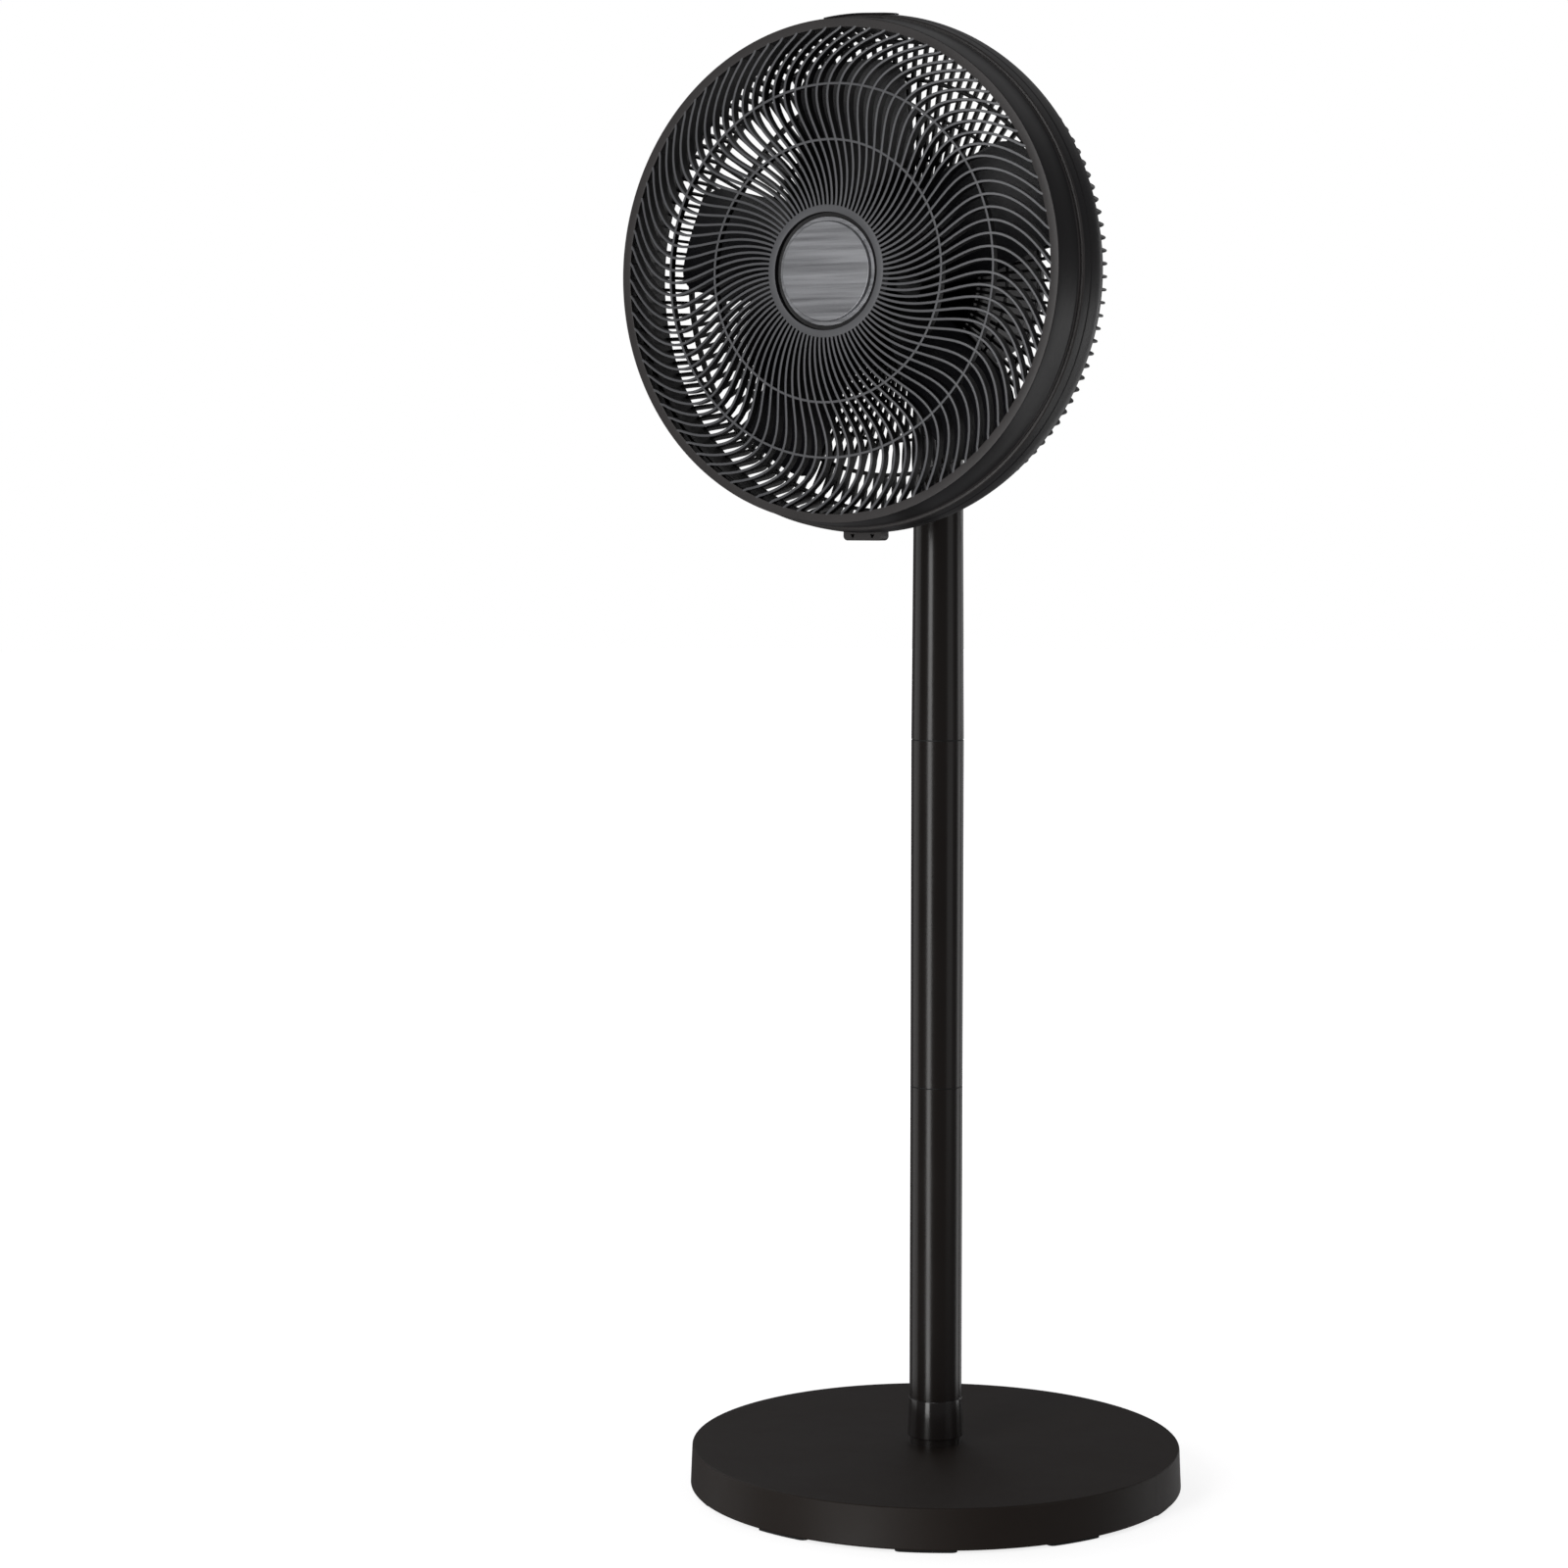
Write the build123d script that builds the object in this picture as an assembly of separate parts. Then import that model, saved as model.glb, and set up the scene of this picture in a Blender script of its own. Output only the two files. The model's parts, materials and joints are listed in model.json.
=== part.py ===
from build123d import *
import os
from math import acos, cos, hypot, pi, radians, sin, sqrt, tan

# A free-standing pedestal fan with a round base, a slim pole and a caged head.
# Millimetres and degrees. The origin is the centre of the base on the floor, +Z is up, the fan
# blows towards -Y, and +X is on the right of someone who stands in front of it.
# Head pieces are drawn in the head's own frame and placed by HEAD_PLACE: there Z is the distance
# forward of the pole's axis, and X and Y are right and up as seen from the front.

# ---- Base ----
BASE_RADIUS = 165.0
BASE_FLARE = 1.2
BASE_TOP = 29.3
RIM_BOTTOM = 2.0
COVER_WALL = 2.5
COVER_ROUND = 1.2
PLATE_BOTTOM = 4.0
PLATE_THICK = 2.0
PLATE_RADIUS = 162.2
PLATE_HATCH_RADIUS = 32.0
WEIGHT_RADIUS = 125.0
WEIGHT_THICK = 8.0
FOOT_COUNT = 10
FOOT_INNER = 150.5
FOOT_OUTER = 163.4
FOOT_HALF_ANGLE = 7.2
FOOT_FIRST_ANGLE = 8.0
SCREW_COUNT = 6
SCREW_CIRCLE = 140.0
SCREW_BOSS_RADIUS = 4.2

# ---- Pole ----
POLE_RADIUS = 17.63
POLE_WALL = 1.2
SOCKET_RECESS_RADIUS = 17.4
SOCKET_BOTTOM = 34.6
SOCKET_FOOT_RADIUS = 19.3
SOCKET_TOP = 60.5
SPIGOT_BORE = 10.0
THREAD_RADIUS = 14.0
THREAD_BOTTOM = 9.0
NUT_ACROSS_FLATS = 38.0
NUT_HEIGHT = 8.0
WASHER_RADIUS = 24.0
WASHER_THICK = 1.6
PLUG_LENGTH = 24.0
PLUG_GAP = 0.12
SEAM = 0.8
SEAM_DEPTH = 0.45
LOWER_SEAM = 273.3
UPPER_SEAM = 507.0
NECK_WALL = 2.4
NECK_MIDDLE = 644.0
NECK_MIDDLE_RADIUS = 16.65
NECK_SHOULDER = 727.0
NECK_SHOULDER_RADIUS = 16.4
INLET_Z = 546.0
INLET_BODY_RADIUS = 4.6
INLET_LENGTH = 11.0
INLET_BORE = 2.85
INLET_PIN_RADIUS = 1.0

# ---- Tilt hinge and swivel post ----
TILT_Z = 738.0
EAR_INNER = 9.6
EAR_OUTER = 15.4
EAR_RADIUS = 10.0
TILT_BOLT_RADIUS = 3.0
FRICTION_WASHER = 0.6
KNUCKLE_RADIUS = 9.6
SHOULDER_BOTTOM = 749.2
SHOULDER_TOP = 753.0
SHOULDER_RADIUS = 15.5
POST_RADIUS = 6.0
POST_BORE = 3.4
POST_BOTTOM = 743.5
POST_TOP = 792.0
RUNNING_GAP = 0.05
GEAR_MODULE = 1.0
GEAR_TEETH = 34
PINION_TEETH = 10
GEAR_BOTTOM = 764.5
GEAR_THICK = 5.0
GEAR_BACKLASH = 0.30
PRESSURE_ANGLE = 20.0

# ---- Head: distances forward of the pole's axis ----
HEAD_Z = 810.2
FACE_FORWARD = 141.6
FACE_OUTER = 157.75
FACE_INNER = 151.9
SKIRT_BACK = 116.5
SKIRT_BACK_RADIUS = 161.0
RING_FRONT = 116.0
RING_FRONT_RADIUS = 162.5
RING_MIDDLE = 98.5
RING_RADIUS = 164.6
RING_BACK = 89.0
RING_LIP_RADIUS = 157.2
HUB_FORWARD = 151.7
HUB_RADIUS = 41.5
HUB_GROOVE_OUTER = 36.8
HUB_GROOVE_INNER = 30.6
HUB_CAP_RADIUS = 31.3
SLAT_COUNT = 90
SLAT_WIDTH = 1.7
SLAT_DEPTH = 7.0
SLAT_SWIRL = 14.0
FRONT_RINGS = (81.8, 116.5)
FRONT_RING_WIDTH = 1.6
WALL_RIB_COUNT = 120
WALL_RIB_FIRST = 1.5
BACK_RIB_COUNT = 100
BACK_RIB_FIRST = 1.2
RIB_WIDTH = 2.0
RIB_DEPTH = 5.0
CORNER_HOOP = (149.2, 151.7)
CORNER_HOOP_BACK = 66.1
DIVIDER_RADIUS = 127.0
DIVIDER_BACK = 64.4
HOOP_DEPTH = 4.0
REAR_PLATE_RADIUS = 54.5
REAR_PLATE_BACK = 44.4
REAR_PLATE_THICK = 3.0

# ---- Clips ----
CLIP_GAP = 0.15
TAB_WIDTH = 28.0
TAB_REACH = 4.5
TAB_BACK = 94.0
TAB_FRONT = 103.5
TAB_NOTCH = 3.3
TAB_NOTCH_OFFSET = 7.2
TAB_SCREW_HEAD = 2.9
ARCH_HALF_ANGLE = 7.5
ARCH_REACH = 0.9
ARCH_BACK = 96.0
ARCH_FRONT = 117.0

# ---- Motor housing ----
HOUSING_RADIUS = 56.0
HOUSING_WALL = 2.5
HOUSING_FRONT = 44.0
HOUSING_SPLIT = -26.0
COVER_BACK = -58.0
NOSE_RADIUS = 16.0
NOSE_FRONT = 56.0
POST_BOSS_RADIUS = 15.0
POST_BOSS_BOTTOM = 753.9
BUSH_WALL = 2.4
BRIDGE_BOTTOM = 773.0
BRIDGE_TOP = 786.0
BOARD_THICK = 1.6
DRIVER_BOARD_Z = 846.0
VENT_WIDTH = 2.4
VENT_SPACING = 9.0
VENTS_PER_SIDE = 7

# ---- Motor ----
SHAFT_RADIUS = 4.0
SHAFT_BACK = 8.0
SHAFT_FRONT = 126.0
BEARING_RADIUS = 11.0
BEARING_WIDTH = 7.0
ROTOR_RADIUS = 33.0
STATOR_RADIUS = 28.0
STATOR_BORE = 13.6
STATOR_SLOTS = 12
STATOR_BACK = 19.0
STATOR_FRONT = 32.0

# ---- Fan ----
BLADE_COUNT = 5
BLADE_FIRST = 23.0
BLADE_TIP_RADIUS = 137.0
BLADE_HUB_RADIUS = 33.0
BLADE_HUB_BACK = 84.0
BLADE_HUB_FRONT = 120.0
BLADE_MIDDLE = 98.0
BLADE_THICK = 2.0

# ---- Oscillation motor ----
STEPPER_RADIUS = 14.0
STEPPER_HEIGHT = 19.0
STEPPER_SHAFT_RADIUS = 2.5
STEPPER_OFFSET = 8.0
STEPPER_BOTTOM = 773.0

# ---- Back panel ----
PANEL_RADIUS = 33.0
PANEL_THICK = 1.2
PANEL_INSET = 0.6
BUTTON_RADIUS = 5.6
BUTTON_HOLE_GAP = 0.4
BUTTON_CIRCLE = 19.0
BUTTON_PROUD = 1.6
BOARD_FORWARD = -48.0
COVER_SCREW_CIRCLE = 49.8
COVER_SCREW_HEAD = -48.0

HEAD_PLACE = Location((0, 0, HEAD_Z), (90, 0, 0))


# ---- Helpers ----
def turned(outline, rounds=None):
    """Solid of revolution about Z from closed (radius, height) corners, rounded in its plane."""
    if rounds:
        line = FilletPolyline(*outline, radius=rounds, close=True)
    else:
        line = Polyline(*outline, close=True)
    return revolve(Plane.XZ * make_face(line), Axis.Z)


def ring(outer, inner, bottom, top):
    """Plain ring about Z."""
    return turned([(inner, bottom), (outer, bottom), (outer, top), (inner, top)])


def rod(radius, bottom, top):
    """Plain cylinder about Z."""
    return Pos(0, 0, bottom) * extrude(Circle(radius), top - bottom)


def block(low, high):
    """Box between two corners."""
    size = [high[i] - low[i] for i in range(3)]
    middle = [(high[i] + low[i]) / 2 for i in range(3)]
    return Pos(*middle) * Box(*size)


def spin(shape, angle):
    """Shape turned about Z."""
    return Rot(0, 0, angle) * shape


def around(shape, count, first=0.0):
    """Copies of a shape spaced evenly about Z."""
    return [spin(shape, first + 360.0 * index / count) for index in range(count)]


def polar(radius, angle):
    """Flat point at a radius and an angle in radians."""
    return (radius * cos(angle), radius * sin(angle))


def save(name, *shapes, place=None):
    """Write one node; several shapes become separate solids of that node."""
    solids = [solid for shape in shapes for solid in shape.solids()]
    if place is not None:
        solids = [place * solid for solid in solids]
    whole = solids[0] if len(solids) == 1 else Compound(children=solids)
    export_step(whole, f"parts/{name}.step")


# ---- Base ----
def make_base_cover():
    bottom_radius = BASE_RADIUS + BASE_FLARE
    inside_top = BASE_TOP - COVER_WALL
    shell = turned(
        [
            (THREAD_RADIUS + 0.4, inside_top),
            (BASE_RADIUS - COVER_WALL, inside_top),
            (bottom_radius - COVER_WALL, RIM_BOTTOM),
            (bottom_radius, RIM_BOTTOM),
            (BASE_RADIUS, BASE_TOP),
            (THREAD_RADIUS + 0.4, BASE_TOP),
        ],
        [0, 0, 0, COVER_ROUND, COVER_ROUND, 0],
    )
    plate_top = PLATE_BOTTOM + PLATE_THICK
    boss = ring(SCREW_BOSS_RADIUS, 1.4, plate_top, inside_top + 0.5)
    bosses = around(Pos(SCREW_CIRCLE, 0, 0) * boss, SCREW_COUNT)
    return shell + bosses


def make_base_weight():
    top = BASE_TOP - COVER_WALL
    return turned(
        [
            (THREAD_RADIUS + 2.0, top - WEIGHT_THICK),
            (WEIGHT_RADIUS, top - WEIGHT_THICK),
            (WEIGHT_RADIUS, top),
            (THREAD_RADIUS + 2.0, top),
        ],
        [0, 1.5, 1.5, 0],
    )


def make_base_plate():
    plate = ring(PLATE_RADIUS, PLATE_HATCH_RADIUS, PLATE_BOTTOM, PLATE_BOTTOM + PLATE_THICK)
    hole = Pos(SCREW_CIRCLE, 0, 0) * rod(1.9, 0, BASE_TOP)
    return plate - around(hole, SCREW_COUNT)


def make_base_screws():
    head = rod(3.4, PLATE_BOTTOM - 1.8, PLATE_BOTTOM)
    slot = block((-2.4, -0.4, PLATE_BOTTOM - 2.0), (2.4, 0.4, PLATE_BOTTOM - 1.0))
    screw = head - slot - spin(slot, 90) + rod(1.35, PLATE_BOTTOM, PLATE_BOTTOM + 12.0)
    return around(Pos(SCREW_CIRCLE, 0, 0) * screw, SCREW_COUNT)


def make_rubber_foot():
    """One curved pad, with rounded corners, stuck under the plate."""
    half = radians(FOOT_HALF_ANGLE)
    outline = Wire(
        [
            ThreePointArc(polar(FOOT_OUTER, -half), polar(FOOT_OUTER, 0), polar(FOOT_OUTER, half)).edge(),
            Line(polar(FOOT_OUTER, half), polar(FOOT_INNER, half)).edge(),
            ThreePointArc(polar(FOOT_INNER, half), polar(FOOT_INNER, 0), polar(FOOT_INNER, -half)).edge(),
            Line(polar(FOOT_INNER, -half), polar(FOOT_OUTER, -half)).edge(),
        ]
    )
    pad = extrude(Face(outline), PLATE_BOTTOM)
    return fillet(pad.edges().filter_by(Axis.Z), 4.0)


def make_base():
    save("base_cover", make_base_cover())
    save("base_weight", make_base_weight())
    save("base_plate", make_base_plate())
    save("base_screws", *make_base_screws())
    save("rubber_feet", *around(make_rubber_foot(), FOOT_COUNT, FOOT_FIRST_ANGLE))


# ---- Pole ----
def make_pole_socket():
    """Tapered collar on a recessed foot, with a threaded stub through the base and a spigot up
    into the pole."""
    plug = POLE_RADIUS - POLE_WALL - PLUG_GAP
    flange = POLE_RADIUS - SEAM_DEPTH
    return turned(
        [
            (THREAD_RADIUS, BASE_TOP),
            (SOCKET_RECESS_RADIUS, BASE_TOP),
            (SOCKET_RECESS_RADIUS, SOCKET_BOTTOM),
            (SOCKET_FOOT_RADIUS, SOCKET_BOTTOM),
            (POLE_RADIUS + 0.35, SOCKET_TOP),
            (flange, SOCKET_TOP),
            (flange, SOCKET_TOP + SEAM),
            (plug, SOCKET_TOP + SEAM),
            (plug, SOCKET_TOP + PLUG_LENGTH),
            (SPIGOT_BORE, SOCKET_TOP + PLUG_LENGTH),
            (SPIGOT_BORE, THREAD_BOTTOM),
            (THREAD_RADIUS, THREAD_BOTTOM),
        ],
        [0, 0, 0, 0.8, 0.3, 0, 0, 0, 1.0, 0, 0, 0],
    )


def make_socket_nut():
    bottom = BASE_TOP - COVER_WALL - WEIGHT_THICK - WASHER_THICK - NUT_HEIGHT
    hexagon = extrude(RegularPolygon(NUT_ACROSS_FLATS / sqrt(3), 6), NUT_HEIGHT)
    return Pos(0, 0, bottom) * hexagon - rod(THREAD_RADIUS + 0.1, 0, BASE_TOP)


def make_tube(bottom, top):
    return ring(POLE_RADIUS, POLE_RADIUS - POLE_WALL, bottom, top)


def make_coupler(seam):
    """Plug inside two sections; its thin flange is the recessed seam between them."""
    plug = POLE_RADIUS - POLE_WALL - PLUG_GAP
    flange = POLE_RADIUS - SEAM_DEPTH
    return turned(
        [
            (SPIGOT_BORE, seam - PLUG_LENGTH),
            (plug, seam - PLUG_LENGTH),
            (plug, seam),
            (flange, seam),
            (flange, seam + SEAM),
            (plug - 1.4, seam + SEAM),
            (plug - 1.4, seam + PLUG_LENGTH),
            (SPIGOT_BORE, seam + PLUG_LENGTH),
        ],
        [0, 1.0, 0, 0, 0, 0, 1.0, 0],
    )


def make_neck_column():
    """Tapered moulded column with a closed top and a two-eared fork for the tilt bolt."""
    bottom = UPPER_SEAM + SEAM
    shell = turned(
        [
            (POLE_RADIUS - NECK_WALL, bottom),
            (POLE_RADIUS, bottom),
            (NECK_MIDDLE_RADIUS, NECK_MIDDLE),
            (NECK_SHOULDER_RADIUS, NECK_SHOULDER),
            (0, NECK_SHOULDER),
            (0, NECK_SHOULDER - 6.0),
            (NECK_SHOULDER_RADIUS - NECK_WALL, NECK_SHOULDER - 6.0),
            (NECK_MIDDLE_RADIUS - NECK_WALL, NECK_MIDDLE),
        ],
    )
    ear_profile = Pos(0, TILT_Z) * Circle(EAR_RADIUS)
    ear_profile += Pos(0, (TILT_Z + NECK_SHOULDER - 3.0) / 2) * Rectangle(
        2 * EAR_RADIUS, TILT_Z - NECK_SHOULDER + 3.0
    )
    ear_profile -= Pos(0, TILT_Z) * Circle(TILT_BOLT_RADIUS)
    ear = Pos(EAR_INNER, 0, 0) * extrude(Plane.YZ * ear_profile, EAR_OUTER - EAR_INNER)
    trim = rod(NECK_SHOULDER_RADIUS, NECK_SHOULDER - 8.0, TILT_Z + 20.0)
    ears = (ear + mirror(ear, Plane.YZ)) & trim
    inlet_hole = Pos(0, 0, INLET_Z) * Rot(-90, 0, 0) * rod(INLET_BODY_RADIUS + 0.1, 0, 2 * POLE_RADIUS)
    return shell + ears - inlet_hole


def make_power_inlet():
    """Round low-voltage jack that looks out of the back of the neck."""
    mouth = POLE_RADIUS - 0.6
    back = mouth - INLET_LENGTH
    body = turned(
        [
            (0, back),
            (INLET_BODY_RADIUS, back),
            (INLET_BODY_RADIUS, mouth),
            (INLET_BORE, mouth),
            (INLET_BORE, back + 1.6),
            (INLET_PIN_RADIUS, back + 1.6),
            (INLET_PIN_RADIUS, mouth - 1.5),
            (0, mouth - 1.5),
        ]
    )
    return Pos(0, 0, INLET_Z) * Rot(-90, 0, 0) * body


def make_pole():
    washer_top = BASE_TOP - COVER_WALL - WEIGHT_THICK
    save("pole_socket", make_pole_socket())
    save("socket_washer", ring(WASHER_RADIUS, THREAD_RADIUS + 0.3, washer_top - WASHER_THICK, washer_top))
    save("socket_nut", make_socket_nut())
    save("lower_pole", make_tube(SOCKET_TOP + SEAM, LOWER_SEAM))
    save("lower_coupler", make_coupler(LOWER_SEAM))
    save("upper_pole", make_tube(LOWER_SEAM + SEAM, UPPER_SEAM))
    save("upper_coupler", make_coupler(UPPER_SEAM))
    save("neck_column", make_neck_column())
    save("power_inlet", make_power_inlet())


# ---- Tilt hinge ----
def along_x(shape):
    """Turn a piece drawn about Z so that it lies along X on the tilt axis."""
    return Pos(0, 0, TILT_Z) * Rot(0, 90, 0) * shape


def make_tilt_bolt():
    head = Pos(0, 0, -EAR_OUTER - 2.4) * extrude(Circle(5.2), 2.4)
    socket = Pos(0, 0, -EAR_OUTER - 2.4) * extrude(RegularPolygon(2.3, 6), 1.4)
    return along_x(head - socket + rod(TILT_BOLT_RADIUS, -EAR_OUTER, EAR_OUTER + 4.6))


def make_tilt_nut():
    nut = Pos(0, 0, EAR_OUTER) * extrude(RegularPolygon(5.4, 6), 4.0)
    return along_x(nut - rod(TILT_BOLT_RADIUS, 0, 2 * EAR_OUTER))


def make_tilt_washers():
    washer = ring(8.0, TILT_BOLT_RADIUS + 0.1, EAR_INNER - FRICTION_WASHER, EAR_INNER)
    return [along_x(washer), along_x(mirror(washer, Plane.XY))]


def make_tilt_knuckle():
    """Barrel on the tilt bolt that carries a round shoulder and holds the foot of the post."""
    half_width = EAR_INNER - FRICTION_WASHER - 0.05
    barrel = along_x(rod(KNUCKLE_RADIUS, -half_width, half_width))
    riser = block(
        (-half_width, -KNUCKLE_RADIUS, TILT_Z),
        (half_width, KNUCKLE_RADIUS, SHOULDER_BOTTOM + 0.5),
    )
    shoulder = turned(
        [
            (0, SHOULDER_BOTTOM),
            (SHOULDER_RADIUS, SHOULDER_BOTTOM),
            (SHOULDER_RADIUS, SHOULDER_TOP),
            (0, SHOULDER_TOP),
        ],
        [0, 0.8, 0.8, 0],
    )
    bolt_hole = along_x(rod(TILT_BOLT_RADIUS + RUNNING_GAP, -20, 20))
    post_hole = rod(POST_RADIUS, POST_BOTTOM, SHOULDER_TOP + 1)
    return barrel + riser + shoulder - bolt_hole - post_hole


def involute_gear(teeth, bore, thickness):
    """Spur gear about Z with involute flanks, thinned for backlash; a tooth points along +Y."""
    pitch = GEAR_MODULE * teeth / 2
    base = pitch * cos(radians(PRESSURE_ANGLE))
    tip = pitch + 0.9 * GEAR_MODULE
    root = pitch - 1.25 * GEAR_MODULE
    half_pitch_angle = pi / (2 * teeth) - GEAR_BACKLASH / (4 * pitch)
    pressure = radians(PRESSURE_ANGLE)
    involute_at_pitch = tan(pressure) - pressure

    def half_angle(radius):
        """Half of the tooth's angle at a radius."""
        slope = acos(min(1.0, base / radius))
        return half_pitch_angle + involute_at_pitch - (tan(slope) - slope)

    flank_start = max(base, root)
    radii = [flank_start + (tip - flank_start) * step / 3 for step in range(4)]
    corners = []
    for index in range(teeth):
        middle = pi / 2 + 2 * pi * index / teeth
        corners.append(polar(root, middle - half_angle(flank_start)))
        corners += [polar(radius, middle - half_angle(radius)) for radius in radii]
        corners += [polar(radius, middle + half_angle(radius)) for radius in reversed(radii)]
        corners.append(polar(root, middle + half_angle(flank_start)))
    distinct = [corners[0]]
    for corner in corners[1:]:
        if hypot(corner[0] - distinct[-1][0], corner[1] - distinct[-1][1]) > 1e-4:
            distinct.append(corner)
    gear = extrude(make_face(Polyline(*distinct, close=True)), thickness)
    return gear - rod(bore, -1, thickness + 1)


def make_tilt():
    save("tilt_bolt", make_tilt_bolt())
    save("tilt_nut", make_tilt_nut())
    save("tilt_washers", *make_tilt_washers())
    save("tilt_knuckle", make_tilt_knuckle())
    save("swivel_post", ring(POST_RADIUS, POST_BORE, POST_BOTTOM, POST_TOP))
    gear = involute_gear(GEAR_TEETH, POST_RADIUS, GEAR_THICK)
    save("oscillation_gear", Pos(0, 0, GEAR_BOTTOM) * gear)
    clip = ring(8.4, POST_RADIUS, POST_TOP - 2.6, POST_TOP - 1.4) - block((-2, -9, 0), (2, 0, 900))
    save("post_clip", clip)


# ---- Front grille ----
def swirl(radius):
    """How far a slat has turned at a radius, in radians: out, and back again at the rim."""
    share = (radius - HUB_RADIUS) / (FACE_INNER - HUB_RADIUS)
    share = min(max(share, 0.0), 1.0)
    return radians(SLAT_SWIRL) * sin(pi * share**1.485)


def slat_side(radius, middle, side):
    """Angle of a slat's edge, kept half a slat's width from its middle line."""
    step = 0.01
    slope = radius * (swirl(radius + step) - swirl(radius - step)) / (2 * step)
    return middle + swirl(radius) + side * SLAT_WIDTH / 2 * sqrt(1 + slope**2) / radius


def slat_window(index, inner, outer):
    """Opening between two neighbouring slats, from one ring to the next."""
    low = 2 * pi * index / SLAT_COUNT
    high = 2 * pi * (index + 1) / SLAT_COUNT
    radii = [inner + (outer - inner) * step / 3 for step in range(4)]
    low_side = [polar(radius, slat_side(radius, low, 1)) for radius in radii]
    high_side = [polar(radius, slat_side(radius, high, -1)) for radius in reversed(radii)]
    outer_middle = polar(outer, (slat_side(outer, low, 1) + slat_side(outer, high, -1)) / 2)
    inner_middle = polar(inner, (slat_side(inner, low, 1) + slat_side(inner, high, -1)) / 2)
    edges = Polyline(*low_side).edges()
    edges += ThreePointArc(low_side[-1], outer_middle, high_side[0]).edges()
    edges += Polyline(*high_side).edges()
    edges += ThreePointArc(high_side[-1], inner_middle, low_side[0]).edges()
    return extrude(Face(Wire(edges)), HUB_FORWARD + 20)


def make_front_grille():
    """Hub plate, domed slatted field, flat face ring and flaring skirt, moulded in one."""
    slat_back = FACE_FORWARD - SLAT_DEPTH
    body = turned(
        [
            (HUB_GROOVE_OUTER - 6.0, HUB_FORWARD - 4.0),
            (HUB_GROOVE_OUTER, HUB_FORWARD - 4.0),
            (HUB_GROOVE_OUTER, HUB_FORWARD),
            (HUB_RADIUS + 16.0, HUB_FORWARD),
            (120.0, FACE_FORWARD + 7.2),
            (FACE_INNER, FACE_FORWARD),
            (FACE_OUTER, FACE_FORWARD),
            (SKIRT_BACK_RADIUS, SKIRT_BACK),
            (SKIRT_BACK_RADIUS - 2.2, SKIRT_BACK),
            (FACE_OUTER - 2.2, FACE_FORWARD - 2.6),
            (FACE_INNER + 2.0, FACE_FORWARD - 2.6),
            (FACE_INNER + 2.0, slat_back),
            (120.0, slat_back + 7.2),
            (HUB_RADIUS + 16.0, HUB_FORWARD - SLAT_DEPTH),
            (HUB_GROOVE_OUTER - 6.0, HUB_FORWARD - SLAT_DEPTH),
        ]
    )
    half = FRONT_RING_WIDTH / 2
    edges = [HUB_RADIUS]
    for radius in FRONT_RINGS:
        edges += [radius - half, radius + half]
    edges.append(FACE_INNER)
    windows = []
    for index in range(SLAT_COUNT):
        for inner, outer in zip(edges[0::2], edges[1::2]):
            windows.append(slat_window(index, inner, outer))
    return body - windows


def make_hub_cap():
    """Plain round cap, level with the hub plate, with a flange at the bottom of the groove."""
    back = HUB_FORWARD - SLAT_DEPTH - 3.0
    groove = HUB_FORWARD - 4.0
    return turned(
        [
            (0, back),
            (HUB_GROOVE_INNER, back),
            (HUB_GROOVE_INNER, groove),
            (HUB_CAP_RADIUS + 2.6, groove),
            (HUB_CAP_RADIUS + 2.6, groove + 1.4),
            (HUB_CAP_RADIUS + 0.2, groove + 1.4),
            (HUB_CAP_RADIUS, HUB_FORWARD),
            (0, HUB_FORWARD),
        ],
        [0, 0, 0, 0, 0, 0, 0.6, 0],
    )


# ---- Rear grille ----
def make_rear_rim():
    """Rolled rim, with the inner lip that the front grille's skirt slips over."""
    return turned(
        [
            (RING_LIP_RADIUS - 2.0, RING_FRONT - 2.0),
            (RING_LIP_RADIUS - 2.0, SKIRT_BACK + 7.0),
            (RING_LIP_RADIUS, SKIRT_BACK + 7.0),
            (RING_LIP_RADIUS, RING_FRONT),
            (RING_FRONT_RADIUS, RING_FRONT),
            (RING_RADIUS, RING_MIDDLE),
            (RING_RADIUS - 0.5, RING_BACK + 4.5),
            (RING_RADIUS - 1.7, RING_BACK + 1.5),
            (RING_RADIUS - 4.2, RING_BACK),
            (RING_RADIUS - 6.5, RING_BACK),
            (RING_RADIUS - 7.0, RING_FRONT - 6.0),
        ]
    )


def make_wall_rib():
    """Outer rib as (radius, forward) corners: down the side wall, round the corner and across
    the flat of the back to the divider hoop."""
    outside = [
        (162.0, 92.0),
        (160.8, 88.7),
        (158.6, 80.0),
        (157.1, 73.0),
        (155.7, 68.6),
        (152.8, 66.2),
        (147.3, 65.6),
        (140.0, 65.1),
        (DIVIDER_RADIUS + 0.2, DIVIDER_BACK),
    ]
    inside = [
        (DIVIDER_RADIUS + 0.2, DIVIDER_BACK + RIB_DEPTH),
        (140.0, 70.2),
        (147.3, 70.7),
        (150.9, 72.0),
        (152.3, 75.5),
        (153.8, 81.0),
        (156.8, 91.0),
        (159.5, 93.0),
    ]
    side = Plane.XZ * make_face(Polyline(*outside, *inside, close=True))
    return extrude(side, RIB_WIDTH / 2, both=True)


def back_line():
    """(radius, forward) corners along the back of an inner rib, from the divider inwards."""
    return [
        (DIVIDER_RADIUS - 0.2, DIVIDER_BACK),
        (116.0, 62.2),
        (105.0, 58.9),
        (90.0, 53.9),
        (78.0, 49.9),
        (66.0, 46.5),
        (REAR_PLATE_RADIUS - 1.0, REAR_PLATE_BACK + 0.2),
    ]


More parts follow.
